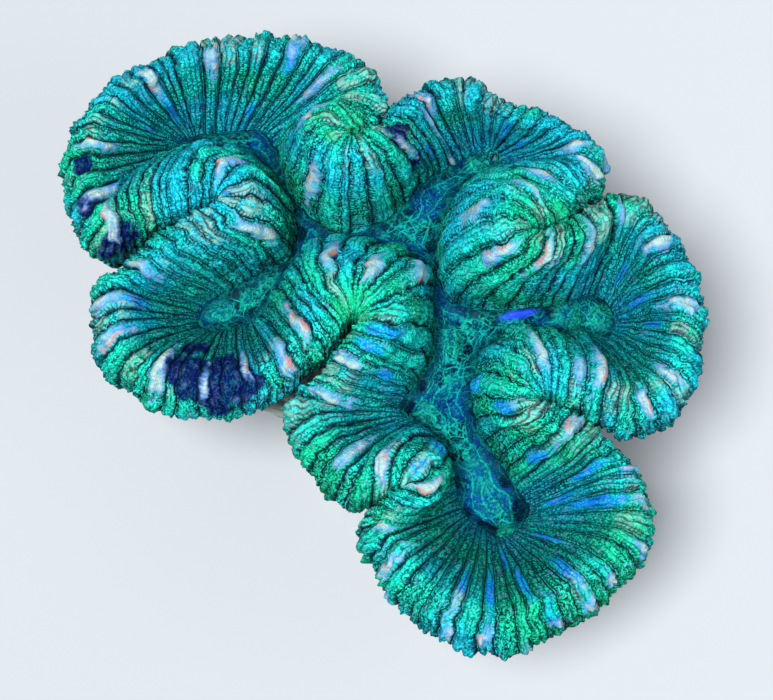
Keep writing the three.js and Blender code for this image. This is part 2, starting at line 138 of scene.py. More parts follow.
# Shape of the flesh, for a lobe and for the end of a fold
CREST_INSIDE = (2.3, 1.8)  # how far the crest lies inside the outline, in plan
OUTER_PROFILE = (  # how far inside the outline and below the crest, from the crest to the end of the flesh
    (CREST_INSIDE, (0, 0)),
    ((0.6, 0.35), (1.3, 0.6)),
    ((0, -0.15), (3.6, 1.6)),
    ((1.1, 0.1), (5.6, 6)),
    ((3, 1.2), (7.4, 9)),
)
LAST_KNOT = len(OUTER_PROFILE) - 1
CREST_LEAD = (1.2, 1.2, 0.15, 0.15)  # from the crest, a point before it that sets the way the profile starts
FLOOR_COVER = 1.2  # the flesh ends at least this far below the valley floor inside it
SLOPE_POWER = (1.5, 2.2)  # roundness of the inner slope
SLOPE_ROOT = (1.15, 1.6)
RIB_TURN = 0.35  # how far a rib keeps square to the rim before it bends to the valley floor
RIB_LEAN = 0.35  # how far it leans to the valley floor at the rim
RIM_REACH = 0.6  # ribs either way between which the rim's direction is taken
MARGIN_STEPS = 6000
FLOOR_WEIGHT = 0.7  # how much the floor line counts, beside the crest, in spacing the ridges
FOLD_RISE = 1.15  # above 1, a fold keeps its own height and shape over more of its middle

# Ridges of the flesh
RIDGE_MM = 1.3  # usual width at the crest
RIDGE_MIX = (0.4, 1.6)  # how far widths differ from the usual one
RIDGE_COLUMNS = 14  # mesh columns in a ridge
SLOPE_ROWS = 60  # mesh rows of the inner slope
OUTER_ROWS = 36  # mesh rows from the crest to the end of the flesh
GUIDE_COLUMNS = 1600  # of the plain sheet on which the marks are found
RIDGE_SHARE = 0.25  # height of a ridge as a share of its width
WIDE_RIDGE = 1.25  # a ridge this much wider than the usual one is a strong one
STRONG_EVERY = 4  # and so is every fourth
STRONG = (0.95, 1.25)  # height of a strong ridge and of the others, beside the usual one
WEAK = (0.4, 0.85)
STRONG_REACH = 1.2  # share of the inner slope after which a ridge gets lower; above 1 it doesn't
WEAK_REACH = (0.55, 1.1)
RIDGE_ROUND = (1.7, 3.4, 0.8)  # height over its groove, flatness of its top, and depth of the groove
FINE_GROOVES = ((-0.6, -0.3), (-0.15, 0.15), (0.3, 0.6))  # where they run on a ridge, from its middle at 0
FINE_GROOVE_DEPTH = (-0.3, 0.7)  # below 0 there is none
FINE_GROOVE_MM = 0.11  # half their width
RIM_SPLIT_DEPTH = 1.3  # of the groove that parts a ridge in two at the rim
RIM_SPLIT_MM = 0.15  # half its width
SWELL_MM = 0.1  # how far a pale mark stands up
STREAK_MM = 0.12  # how far a blue streak stands up
HEAVE_MM = 0.25  # how far the sheet rises and sinks over several ridges
RIDGE_SEED = 5

# How much of the ridges shows: down the inner slope, and along the edge of a lobe and of a fold's end
SLOPE_FADE = ((0, 0.3, 0.9, 1), (1, 1, 0.8, 0.35))
LOBE_FADE = (1, 1, 0.9, 0.8, 0.2)
END_FADE = (1, 0.6, 0.25, 0.15, 0)

# Noises over the flesh: size of a lump along the margin and down the ribs, and the seed
RING_NOISES = {
    "frill": (0.6, 0.5, 11),
    "fine_frill": (0.35, 0.3, 12),
    "heave": (3.5, 3, 13),
    "sway": (3.2, 1.6, 21),
    "small_sway": (1.4, 0.7, 22),
    "fine_sway": (0.8, 0.35, 23),
    "streak_edge": (0.45, 0.6, 31),
    "patch_edge": (0.8, 0.8, 37),
    "wander": (1.3, 1.1, 61),
    "ridge_height": (1.1, 1.2, 62),
    "frost": (2.5, 1.5, 71),
    "tint": (4, 4, 72),
}

# Foot
FOOT_CENTRE = (3.5, 4.5)
FOOT_RADIUS = (11, 10)
FOOT_WAIST = 2.2  # how quickly it draws in below the flesh
FOOT_RIBS = 120
FOOT_COLUMNS = 960
FOOT_ROWS = 30
FOOT_TUCK = 0.06  # how far it runs on under the flesh, beside its own height
FOOT_LUMPS = (90, 9)  # round it and down it

# Raised mouths on the valley floor: x, y, radius and height, how many times longer than wide, its turn in
# degrees, and how much green it has. The one without green is a smooth streak.
MOUTHS = (
    (15.8, 5.35, 1.45, 1.0, 1.1, 0, 0.12),
    (18.7, 5.6, 1.2, 0.8, 1.2, 80, 0.35),
    (11.5, 5.0, 0.5, 0.5, 4.4, 14, 0.0),
    (5.7, 2.6, 1.0, 0.6, 1.5, 70, 0.1),
    (3.4, -4.0, 0.9, 0.5, 1.3, 100, 0.15),
    (7.9, -9.6, 1.0, 0.9, 2.1, -60, 0.05),
    (9.2, -12.2, 0.8, 0.6, 1.3, -60, 0.1),
    (10.2, -14.5, 0.85, 0.7, 1.2, -70, 0.6),
    (8.2, 20.3, 0.95, 0.8, 1.5, -40, 0.45),
    (-14.6, 5.8, 0.85, 0.7, 1.7, 15, 0.2),
    (-11.9, 7.0, 0.8, 0.6, 1.5, 30, 0.1),
    (-10.2, 8.4, 0.6, 0.5, 1.5, 40, 0.1),
)
MOUTH_SPOKES = 18  # round each mouth
SPOKE_HEIGHT = 0.14
SLIT_WIDTH = 0.16  # half of it, as a share of the mouth's radius
SLIT_DEPTH = 0.55  # as a share of the mouth's height

# Deep hollows of the valley floor, darkened with painted shade, by the photograph's pixels, with radius and
# depth
HOLLOWS = (
    (522, 507, 1.5, 0.9), (487, 531, 1.3, 0.8), (462, 514, 1.1, 0.7), (453, 482, 0.8, 0.5),
    (408, 408, 0.8, 0.6), (451, 456, 0.6, 0.5), (505, 480, 0.6, 0.4), (552, 308, 0.7, 0.4),
    (420, 385, 0.6, 0.4), (196, 148, 1.1, 0.6), (300, 235, 0.8, 0.6), (283, 262, 0.8, 0.6),
    (605, 300, 0.8, 0.6), (425, 430, 0.6, 0.4), (240, 330, 0.8, 0.5), (432, 245, 0.7, 0.6),
    (465, 345, 0.7, 0.4), (475, 410, 0.6, 0.4),
)
FLOOR_MESH = 0.16  # spacing of the floor's points
FLOOR_LINE_POINTS = 1200  # on the line where the flesh meets the floor
FLOOR_TUCK = 0.9  # how far the floor runs on under the flesh
TUCK_SLOPE = 0.9  # how steeply it drops there
FLOOR_SINK = 0.35  # how far its middle lies below the flesh's end
TINY = 0.01  # keeps a point on the line from counting without limit
FLOOR_LUMPS_MM = {"lump": 0.3, "small_lump": 0.16}  # heights

# Noises over the floor: size of a lump, how far it is shifted, and the seed
FLOOR_NOISES = {"lump": (1.6, 90, 41), "small_lump": (0.7, 90, 42), "hollow_edge": (0.8, 60, 43)}

# Fine patterns, by their real sizes. The net and the stripes are drawn a little coarse so that they show.
NET_MM = 0.34  # between the winding lines of granules
NET_THICKNESS = 0.075  # of its lines, as a share of the noise that they follow
FLOOR_NET_THICKNESS = 0.07
STRIPE_MM = 0.36  # between the cross lines on a ridge's flanks
FURROW_MM = 0.5  # between the fine furrows that run along a ridge
FLOW_MM = 0.95  # between the lines that run along the valley floor
CELL_MM = 1.0  # dark cells of the valley floor
CELL_WARP = (0.9, 0.9)  # scale of the noise that bends them, and how many millimetres it moves them
SPOT_MM = 0.21  # bright spots of the flesh
GRAIN_MM = 0.2  # granules
GRANULE_HEIGHT_MM = 0.07
LINE_HEIGHT_MM = 0.105  # lines of the valley floor
PORE_MM = 0.7  # pores of the stone
PORE_DEPTH_MM = 0.12
LUMP_SCALE = 0.7  # a noise of scale 1 has lumps of about this many millimetres
DULL_SHINE = 0.06  # specular level, low because the coral hardly shines

# Noises of the materials: size of a lump, detail, distortion, and how far it is shifted to differ from others
FLESH_PATTERNS = {
    "broad": (5, 2, 0, 0),
    "patchy": (1.6, 2, 0, 40),
    "uneven": (0.5, 2, 0, 140),
    "grain": (GRAIN_MM, 1, 0, 80),
    "net_noise": (NET_MM, 1, 0.6, 0),
}
VALLEY_PATTERNS = {
    "bent": (0.9, 2, 0.4, 60),
    "broad": (3.5, 2, 0, 25),
    "drift": (1.4, 1, 0, 90),
    "grain": (GRAIN_MM, 1, 0, 80),
    "net_noise": (NET_MM, 1, 0.6, 10),
}
STONE_PATTERNS = {"stain": (3, 3, 0, 0), "grain": (0.35, 3, 0, 0)}

# The photograph's camera, which sees the coral from the front and above
CAMERA_ELEVATION = math.radians(67)
CAMERA_DISTANCE = 270
CAMERA_TARGET = (0, 0, 26)
FOCAL_PIXELS = 3166
PHOTO_SIZE = (773, 700)
PIXELS_PER_MM = FOCAL_PIXELS / CAMERA_DISTANCE
SENSOR_WIDTH = 36
CAMERA_CLIP = (0.01, 10)  # nearest and furthest that it sees, in metres

# Lights: place in metres, kind, width in metres, or in radians for a sun, and share of the power set for it
LIGHTS = {
    "key_light": ((-0.1, -0.2, 0.52), "SUN", math.radians(21), 1),
    "fill_light": ((0.35, -0.3, 0.4), "AREA", 0.4, 1),
    "back_light": ((0.3, 0.45, 0.25), "AREA", 0.25, 0.35),
}

# Marks on the flesh, by the photograph's pixels. A mark lies on a ridge of its own, so it gives how many
# millimetres it runs each way along the ridge and how wide that ridge is.
PALE_MARKS = (
    (150, 78, 1.6, 1.7), (212, 55, 1.4, 1.7), (300, 46, 1.3, 1.7), (97, 147, 1.7, 1.7),
    (92, 190, 1.5, 1.7), (113, 226, 2.2, 1.7), (225, 165, 2.0, 1.6), (250, 226, 1.8, 1.7),
    (140, 264, 1.6, 1.7), (102, 305, 1.0, 1.7), (110, 335, 1.9, 1.7), (160, 370, 2.4, 1.7),
    (205, 385, 1.3, 1.0), (245, 365, 1.6, 1.0), (285, 360, 1.6, 1.7), (300, 325, 2.2, 1.7),
    (330, 258, 2.2, 1.7), (345, 358, 1.4, 1.7), (330, 395, 1.8, 1.7), (350, 455, 1.9, 1.7),
    (384, 470, 1.8, 1.7), (420, 486, 1.4, 1.7), (395, 525, 1.6, 1.7), (385, 567, 1.6, 1.7),
    (322, 82, 2.0, 1.7), (312, 112, 1.6, 1.7), (312, 180, 2.4, 1.6), (405, 145, 2.2, 1.5),
    (432, 122, 2.2, 1.4), (424, 97, 2.0, 1.3), (477, 212, 1.9, 1.9), (506, 252, 1.9, 1.7),
    (530, 190, 1.6, 1.7), (543, 178, 1.4, 1.7), (549, 250, 2.0, 1.7), (590, 240, 2.4, 1.7),
    (575, 147, 1.2, 1.7), (592, 172, 1.4, 1.7), (620, 212, 1.0, 1.4), (655, 236, 1.0, 1.4),
    (685, 306, 1.4, 1.7), (675, 376, 1.2, 1.4), (600, 372, 2.0, 1.7), (540, 350, 2.0, 1.7),
    (578, 370, 1.2, 1.4), (645, 402, 1.1, 1.4), (630, 465, 1.3, 1.4), (638, 508, 0.9, 1.3),
    (640, 548, 0.9, 1.3), (576, 430, 1.4, 1.7), (486, 640, 0.8, 1.2), (526, 648, 0.8, 1.2),
    (582, 612, 0.9, 1.3), (455, 160, 1.4, 1.7), (372, 270, 1.6, 1.7), (415, 275, 1.6, 1.7),
    (268, 228, 1.2, 1.7), (612, 160, 1.0, 1.7), (612, 582, 0.7, 1.2), (557, 625, 0.7, 1.2),
    (446, 634, 0.7, 1.2), (389, 598, 0.8, 1.2),
)
BLUE_MARKS = (
    (172, 108, 3.4, 1.7), (112, 190, 1.6, 1.7), (150, 130, 2.0, 1.2), (640, 300, 3.2, 1.4),
    (650, 325, 2.4, 1.2), (490, 590, 3.0, 1.5), (460, 592, 3.0, 1.5), (570, 575, 3.0, 1.7),
    (600, 502, 3.4, 1.5), (385, 330, 1.6, 1.7), (520, 580, 2.6, 1.2), (545, 540, 2.2, 1.2),
    (590, 470, 2.6, 1.4), (540, 455, 2.0, 1.7), (495, 255, 1.6, 1.7), (370, 345, 1.4, 1.7),
    (545, 262, 1.6, 1.7), (385, 375, 1.8, 1.4), (250, 110, 1.8, 1.4), (430, 150, 1.8, 1.2),
    (505, 130, 2.4, 1.2), (520, 145, 2.0, 1.2), (230, 190, 1.6, 1.4), (620, 275, 2.0, 1.2),
    (130, 300, 2.2, 1.4), (480, 385, 2.0, 1.9), (505, 405, 2.2, 1.7), (555, 500, 2.4, 1.4),
    (505, 560, 2.4, 1.2), (300, 60, 2.2, 1.4), (436, 452, 1.6, 1.8), (415, 462, 1.4, 1.5),
)
# Dark blue patches, and bright lime ones where two folds meet, each with its radius
DARK_MARKS = (
    (200, 380, 2.1), (225, 372, 2.0), (195, 350, 1.3), (215, 395, 1.8), (122, 242, 1.6), (400, 132, 1.1),
    (82, 170, 0.9), (240, 163, 0.7), (240, 385, 1.6), (88, 208, 0.9), (415, 160, 0.8), (180, 365, 1.3),
)
LIME_MARKS = (
    (352, 130, 1.2), (352, 308, 1.5), (330, 135, 0.8), (365, 300, 0.9), (455, 420, 0.9), (560, 212, 1.0),
)
MARKS = {"pale": PALE_MARKS, "blue": BLUE_MARKS, "dark": DARK_MARKS, "lime": LIME_MARKS}
MARK_REACH = 6  # pixels within which the flesh nearest to the camera takes a mark
MARK_DEPTH = 1.5  # how much further from the camera it may be
MARK_GAP = 0.35  # least distance between two marked ridges, beside their widths together
LEAST_GAP = 0.4  # a narrower gap between marked ridges, beside the usual ridge, is closed

# A mark's field falls by 1 over its own size, from this in its middle, and its edge is this ragged
PATCH_CORE, PATCH_RAGGED = 1.5, 0.35
BLUE_CORE, BLUE_RAGGED = 1.35, 0.225
PALE_CORE, PINK_CORE, PALE_RAGGED = 1.25, 1.3, 0.45
PALE_SIDE = 0.3  # how far a pale mark lies to one side of its ridge
PALE_EDGE = 0.45  # its width on that side, where it is pink, beside the other side's
PALE_TOP = 1.5  # its length up the ridge, beside the length down
PALE_STRENGTH = (0.7, 1.05)
TAIL_MM = (3, 7)  # blue tail of a pale mark
TAIL_STRENGTH = (0.2, 0.8)


def turn_linear(hex_colour):
    """An sRGB hex value as linear red, green and blue."""
    channels = [int(hex_colour[i : i + 2], 16) / 255 for i in (1, 3, 5)]
    return tuple(c / 12.92 if c <= 0.04045 else ((c + 0.055) / 1.055) ** 2.4 for c in channels)


def mix(a, b, share):
    """A value between a and b."""
    return a + (b - a) * share


def fade(low, high, value):
    """0 below low, 1 above high, and smooth between them."""
    t = np.clip((value - low) / (high - low), 0, 1)
    return t * t * (3 - 2 * t)


def unit(vectors):
    """Vectors made one long."""
    return vectors / np.maximum(np.linalg.norm(vectors, axis=-1, keepdims=True), 1e-9)


def noise(x, y, seed, period=None):
    """Smooth noise from -1 to 1, one lump to a unit. With a period it repeats along x, so that it closes."""
    table = np.random.default_rng(seed).uniform(-1, 1, (1024, 256))
    ix, iy = np.floor(x).astype(int), np.floor(y).astype(int)
    fx, fy = fade(0, 1, x - ix), fade(0, 1, y - iy)
    wrap = period or 1024
    left, right = ix % wrap, (ix + 1) % wrap
    below, above = (mix(table[left, row % 256], table[right, row % 256], fx) for row in (iy, iy + 1))
    return mix(below, above, fy)


def measure_knots(a, b):
    """How far apart points count on a centripetal line: the root of their distance."""
    return np.maximum(np.sum((b - a) ** 2, axis=1) ** 0.25, 1e-4)[:, None]


def smooth_line(points, places):
    """A closed centripetal Catmull-Rom line through points, at places counted in points."""
    places = places % len(points)
    first = np.floor(places).astype(int)
    w = (places - first)[:, None]
    a, b, c, d = (points[(first + k) % len(points)] for k in (-1, 0, 1, 2))
    ab, bc, cd = measure_knots(a, b), measure_knots(b, c), measure_knots(c, d)
    lead = ((b - a) / ab - (c - a) / (ab + bc) + (c - b) / bc) * bc
    trail = ((c - b) / bc - (d - b) / (bc + cd) + (d - c) / cd) * bc
    return b + lead * w + (3 * (c - b) - 2 * lead - trail) * w**2 + (2 * (b - c) + lead + trail) * w**3


RIBS = np.array([rib for section in MARGIN for rib in section[4]])
SECTION_ENDS = np.array(
    [0] + [sum(len(s[4]) for s in MARGIN[: i + 1]) - (s[0] == "lobe") for i, s in enumerate(MARGIN)]
)


class Ribs:
    """The ribs of the flesh at many places along the margin, counted in ribs."""

    def __init__(self, places):
        places = places % len(RIBS)
        section = np.clip(np.searchsorted(SECTION_ENDS, places, side="right") - 1, 0, len(MARGIN) - 1)
        along = (places - SECTION_ENDS[section]) / (SECTION_ENDS[section + 1] - SECTION_ENDS[section])
        is_fold = np.array([s[0] == "fold" for s in MARGIN])[section]
        self.fold = np.where(is_fold, np.minimum(1, FOLD_RISE * np.sin(np.pi * along)), 0)
        self.crest_height, self.floor_height = (self.level(i, section, along, is_fold) for i in (1, 2))
        bearings = np.array([s[3] for s in MARGIN])[section]
        self.bearing = np.radians(mix(bearings[:, 0], bearings[:, 1], along))
        self.rim = smooth_line(RIBS[:, :2], places)
        self.floor = smooth_line(RIBS[:, 2:], places)
        ahead = smooth_line(RIBS[:, :2], places + RIM_REACH) - smooth_line(RIBS[:, :2], places - RIM_REACH)
        square = unit(np.stack((ahead[:, 1], -ahead[:, 0]), axis=1))
        self.inward = unit(mix(square, unit(self.floor - self.rim), RIB_LEAN))

    def level(self, index, section, along, is_fold):
        """A height of the margin, which rises from its neighbours to a fold's own."""
        values = np.array([s[index] for s in MARGIN], float)
        beside = mix(values[section - 1], values[(section + 1) % len(MARGIN)], along)
        return np.where(is_fold, mix(beside, values[section], self.fold), values[section])

    def pick(self, pair):
        """A value between a lobe's and a fold's."""
        return mix(pair[0], pair[1], self.fold)

    def outer(self, inside, drop):
        """Points on the rim side: a distance inside the outline and a drop below the crest."""
        flat = self.rim + self.inward * inside[:, None]
        return np.column_stack((flat, self.crest_height - drop))

    def slope(self, share):
        """Points of the inner slope, from the crest at 0 to the valley floor at 1."""
        crest = self.outer(self.pick(CREST_INSIDE), 0 * self.fold)[:, :2]
        reach = np.linalg.norm(self.floor - crest, axis=1, keepdims=True)
        bend = crest + self.inward * RIB_TURN * reach
        flat = mix(mix(crest, bend, share), mix(bend, self.floor, share), share)
        height = (1 - share ** self.pick(SLOPE_POWER)) ** (1 / self.pick(SLOPE_ROOT))
        return np.column_stack((flat, mix(self.floor_height, self.crest_height, height)))

    def edge(self, place):
        """Points of the rounded edge, from the crest at 0 to the end of the flesh at the last knot."""
        knots = [(*inside, *drop) for inside, drop in OUTER_PROFILE]
        before = tuple(np.array(knots[0]) + CREST_LEAD)
        after = tuple(2 * np.array(knots[-1]) - knots[-2])
        row = smooth_line(np.array([before, *knots, after]), np.array([min(place, LAST_KNOT - 1e-4) + 1]))[0]
        end = self.pick(OUTER_PROFILE[-1][1])
        deeper = np.maximum(self.crest_height - self.floor_height + FLOOR_COVER - end, 0)
        return self.outer(self.pick(row[:2]), self.pick(row[2:]) + deeper * fade(2.5, LAST_KNOT, place))

    def foot(self, share):
        """Points of the stone foot, from the end of the flesh at 0 to the cut at 1."""
        top = self.edge(LAST_KNOT)
        x = FOOT_CENTRE[0] + FOOT_RADIUS[0] * np.cos(self.bearing)
        y = FOOT_CENTRE[1] + FOOT_RADIUS[1] * np.sin(self.bearing)
        drawn = 1 - max(1 - share, 0) ** FOOT_WAIST if share > 0 else 0
        return np.column_stack((mix(top[:, 0], x, drawn), mix(top[:, 1], y, drawn), mix(top[:, 2], 0, share)))


def measure_margin():
    """Samples along the margin and the way round to each, in millimetres, by crest and floor together."""
    samples = np.linspace(0, len(RIBS), MARGIN_STEPS + 1)
    ribs = Ribs(samples)
    crest, floor = (np.linalg.norm(np.diff(ribs.slope(end), axis=0), axis=1) for end in (0.0, 1.0))
    return samples, np.concatenate(([0], np.cumsum((crest**4 + (FLOOR_WEIGHT * floor) ** 4) ** 0.25)))


MARGIN_SAMPLES, MARGIN_LENGTHS = measure_margin()
MARGIN_LENGTH = MARGIN_LENGTHS[-1]


def find_places(turns):
    """Places along the margin, in ribs, of shares of the way round."""
    return np.interp(turns % 1 * MARGIN_LENGTH, MARGIN_LENGTHS, MARGIN_SAMPLES)


SLOPE_SHARES = 0.5 + 0.5 * np.cos(np.linspace(0, np.pi, SLOPE_ROWS))
EDGE_PLACES = np.linspace(0, LAST_KNOT, OUTER_ROWS + 1)[1:]


def lay_rows(ribs):
    """The plain sheet of flesh, row by row from the valley floor to its end, and the way along each rib."""
    rows = [ribs.slope(share) for share in SLOPE_SHARES] + [ribs.edge(place) for place in EDGE_PLACES]
    sheet = np.array(rows)
    steps = np.linalg.norm(np.diff(sheet, axis=0), axis=2)
    return sheet, np.concatenate((np.zeros((1, sheet.shape[1])), np.cumsum(steps, axis=0)))


def on_photo(points):
    """Where points fall on the photograph, in pixels, and how far they are from the camera."""
    up, back = math.sin(CAMERA_ELEVATION), math.cos(CAMERA_ELEVATION)
    x, y, z = points[..., 0], points[..., 1], points[..., 2] - CAMERA_TARGET[2]
    depth = CAMERA_DISTANCE + y * back - z * up
    across = PHOTO_SIZE[0] / 2 + FOCAL_PIXELS * x / depth
    down = PHOTO_SIZE[1] / 2 - FOCAL_PIXELS * (y * up + z * back) / depth
    return across, down, depth


def find_marks():
    """Each mark as its kind, row of the sheet, share of the way round, and its own sizes."""
    turns = np.arange(GUIDE_COLUMNS) / GUIDE_COLUMNS
    sheet, _ = lay_rows(Ribs(find_places(turns)))
    x, y, depth = on_photo(sheet)
    found = []
    for kind, marks in MARKS.items():
        for mark_x, mark_y, *sizes in marks:
            gap = np.hypot(x - mark_x, y - mark_y)
            near = gap < max(MARK_REACH, gap.min() + 2)
            seen = near & (depth < depth[near].min() + MARK_DEPTH)
            row, column = np.unravel_index(np.where(seen, gap, np.inf).argmin(), gap.shape)
            found.append((kind, row, turns[column], sizes))
    return found


def lay_ridges(marks, random):
    """Edges of the ridges as shares of the way round, with a ridge of its own for each pale or blue mark."""
    streaks = [(turn, sizes) for kind, _, turn, sizes in marks if kind in ("pale", "blue")]
    wide = sorted((turn * MARGIN_LENGTH, sizes[1]) for turn, sizes in streaks)
    kept = wide[:1]
    for middle, width in wide[1:]:
        if middle - kept[-1][0] > MARK_GAP * (width + kept[-1][1]):
            kept.append((middle, width))
    edges = []
    for i, (middle, width) in enumerate(kept):
        after = kept[(i + 1) % len(kept)]
        next_start = after[0] - after[1] / 2 + (MARGIN_LENGTH if i == len(kept) - 1 else 0)
        end = middle + width / 2
        gap = next_start - end
        if gap < LEAST_GAP * RIDGE_MM:
            edges.append(end + gap / 2)
            continue
        widths = random.uniform(*RIDGE_MIX, max(1, round(gap / RIDGE_MM)))
        edges.extend(end + gap * np.concatenate(([0], np.cumsum(widths) / widths.sum())))
    return np.array(sorted(edges)) / MARGIN_LENGTH


class Flesh:
    """The ribbed sheet of flesh as rows of points from the valley floor to the end of the flesh."""

    def __init__(self, settings):
        self.settings = settings
        self.random = np.random.default_rng(RIDGE_SEED)
        marks = find_marks()
        self.ridge_edges = lay_ridges(marks, self.random)
        self.ridges = len(self.ridge_edges)
        ends = np.append(self.ridge_edges[1:], self.ridge_edges[0] + 1)
        steps = np.arange(RIDGE_COLUMNS) / RIDGE_COLUMNS
        self.turn = (self.ridge_edges[:, None] + (ends - self.ridge_edges)[:, None] * steps).ravel()
        self.ridge = np.repeat(np.arange(self.ridges), RIDGE_COLUMNS)
        self.across = np.tile(2 * steps - 1, self.ridges)  # -1 in the groove before a ridge, 0 on its middle
        self.ridge_width = (ends - self.ridge_edges) * MARGIN_LENGTH
        is_wide = self.ridge_width > WIDE_RIDGE * RIDGE_MM
        self.is_strong = (np.arange(self.ridges) % STRONG_EVERY == 0) | is_wide
        self.ribs = Ribs(find_places(self.turn))
        self.base, self.along = lay_rows(self.ribs)
        ahead = np.roll(self.base, -4, axis=1) - np.roll(self.base, 4, axis=1)
        self.sideways = unit(ahead)
        self.normal = unit(np.cross(ahead, np.gradient(self.base, axis=0)))
        self.from_crest = self.along - self.along[SLOPE_ROWS - 1]
        self.fields = {name: np.zeros_like(self.along) for name in ("pale", "pink", "blue", "dark", "lime")}
        for mark in marks:
            self.add_mark(*mark)
        self.points = self.base + self.raised()

    def ring_noise(self, name):
        """One of the noises over the sheet, which closes round the margin."""
        size, down, seed = RING_NOISES[name]
        period = round(MARGIN_LENGTH / size)
        return noise(np.broadcast_to(self.turn * period, self.along.shape), self.along / down, seed, period)

    def per_ridge(self, low, high):
        """A random value for each ridge, given for every column."""
        return self.random.uniform(low, high, self.ridges)[self.ridge]

    def width(self):
        """Width of every ridge at each point of the sheet."""
        grooves = self.base[:, ::RIDGE_COLUMNS]
        widths = np.linalg.norm(np.roll(grooves, -1, axis=1) - grooves, axis=2)
        return np.repeat(widths, RIDGE_COLUMNS, axis=1)

    def crest_near(self):
        """1 on the crest and its shoulder, fading down the slope, sooner on a lobe, and under the rim."""
        lobe = fade(-2.4, -0.2, self.from_crest) * (1 - 0.5 * fade(-5, -14, self.base[..., 1]))
        above = mix(lobe, fade(-4.5, -0.5, self.from_crest), self.ribs.fold)
        return above * (1 - fade(1.5, 5, self.from_crest))

    def shade(self):
        """Painted shade on the inner slopes, as how much darker they are: none at the back, and most on the
        lobe at the front.
        """
        y = self.base[..., 1]
        slope = fade(0.8, -3, self.from_crest) * (1 - self.ribs.fold)
        return slope * (1 - fade(8, 22, y)) * (0.26 + 0.22 * fade(-4, -16, y))

    def roughness(self):
        """How ragged the ridges are: most over the folds and outside the rim, least on an inner slope."""
        return np.maximum(self.ribs.fold, fade(-2.5, 1.5, self.from_crest))

    def add_mark(self, kind, row, turn, sizes):
        """Lays a mark in its field: above 0.5 inside it, and falling off outside it."""
        column = np.abs((self.turn - turn + 0.5) % 1 - 0.5).argmin()
        if kind in ("dark", "lime"):
            away = np.linalg.norm(self.base - self.base[row, column], axis=2) / sizes[0]
            self.lay(kind, PATCH_CORE - away + PATCH_RAGGED * self.ring_noise("patch_edge"))
            return
        mine = self.ridge == self.ridge[column]
        down = (self.along - self.along[row, column])[:, mine]
        across = np.broadcast_to(self.across[mine], down.shape)
        ragged = self.ring_noise("streak_edge")[:, mine]
        if kind == "blue":
            self.lay(kind, BLUE_CORE - np.hypot(across, down / sizes[0]) + BLUE_RAGGED * ragged, mine)
        else:
            self.add_pale(across, down, sizes[0], PALE_RAGGED * ragged, mine)

    def add_pale(self, across, down, length, ragged, mine):
        """Lays a pale mark to one side of its ridge, with a pink edge and a blue tail."""
        side = self.random.choice((-1, 1))
        beside = (across - PALE_SIDE * side) * side
        off = np.hypot(
            np.where(beside > 0, beside / PALE_EDGE, -beside),
            np.where(down > 0, down / length, -down / (PALE_TOP * length)),
        )
        self.lay("pale", (PALE_CORE - off + ragged) * self.random.uniform(*PALE_STRENGTH), mine)
        self.lay("pink", (PINK_CORE - off + ragged) * fade(0.0, 0.25, beside), mine)
        tail = self.random.uniform(*TAIL_MM)
        tail_shape = fade(-tail, -0.3 * length, down) * (1 - fade(0.2, 1.2, down)) * (1 - across**2)
        self.lay("blue", self.random.uniform(*TAIL_STRENGTH) * tail_shape, mine)

    def lay(self, name, shape, columns=slice(None)):
        """Adds a shape to a field where it is the higher."""
        field = self.fields[name]
        field[:, columns] = np.maximum(field[:, columns], np.clip(shape, 0, 1))

    def ridge_shape(self):
        """Height of the ridges across, from the groove's bottom at -1 to about 1."""
        strength = np.where(self.is_strong[self.ridge], self.per_ridge(*STRONG), self.per_ridge(*WEAK))
        reach = np.where(self.is_strong[self.ridge], STRONG_REACH, self.per_ridge(*WEAK_REACH))
        share = np.concatenate((SLOPE_SHARES, np.zeros(len(EDGE_PLACES))))[:, None]
        strength = strength * (1 - 0.65 * fade(reach - 0.3, reach, share))
        uneven = 1 + 0.35 * self.ring_noise("ridge_height")
        wander = 0.16 * self.ring_noise("wander")
        rise, flatness, sunk = RIDGE_ROUND
        shape = rise * (1 - np.abs(self.across) ** flatness) * strength * uneven - sunk
        half = np.maximum(self.width() / 2, 0.2)
        rim = fade(-1.0, 1.8, self.from_crest)
        for low, high in FINE_GROOVES:
            middle = self.per_ridge(low, high) + wander
            depth = self.per_ridge(*FINE_GROOVE_DEPTH).clip(0) * np.clip(2 * half - 0.5, 0, 1)
            depth = depth * mix(0.5, 1, self.roughness()) * (1 + 0.5 * rim)
            depth = depth * (1 - 0.6 * np.clip(2 * self.fields["pale"], 0, 1))
            shape = shape - depth * np.exp(-(((self.across - middle) * half / FINE_GROOVE_MM) ** 2))
        split = np.exp(-(((self.across - self.per_ridge(-0.2, 0.2)) * half / RIM_SPLIT_MM) ** 2))
        return shape - RIM_SPLIT_DEPTH * rim * np.clip(2 * half - 0.6, 0, 1) * split

    def ridge_fade(self):
        """How much of the ridges shows in each row."""
        on_slope = np.interp(SLOPE_SHARES, *SLOPE_FADE)
        lobe, end = (np.interp(EDGE_PLACES, range(LAST_KNOT + 1), shown) for shown in (LOBE_FADE, END_FADE))
        slope = np.repeat(on_slope[:, None], len(self.turn), axis=1)
        edge = mix(lobe[:, None], end[:, None], self.ribs.fold)
        return np.concatenate((slope, edge))

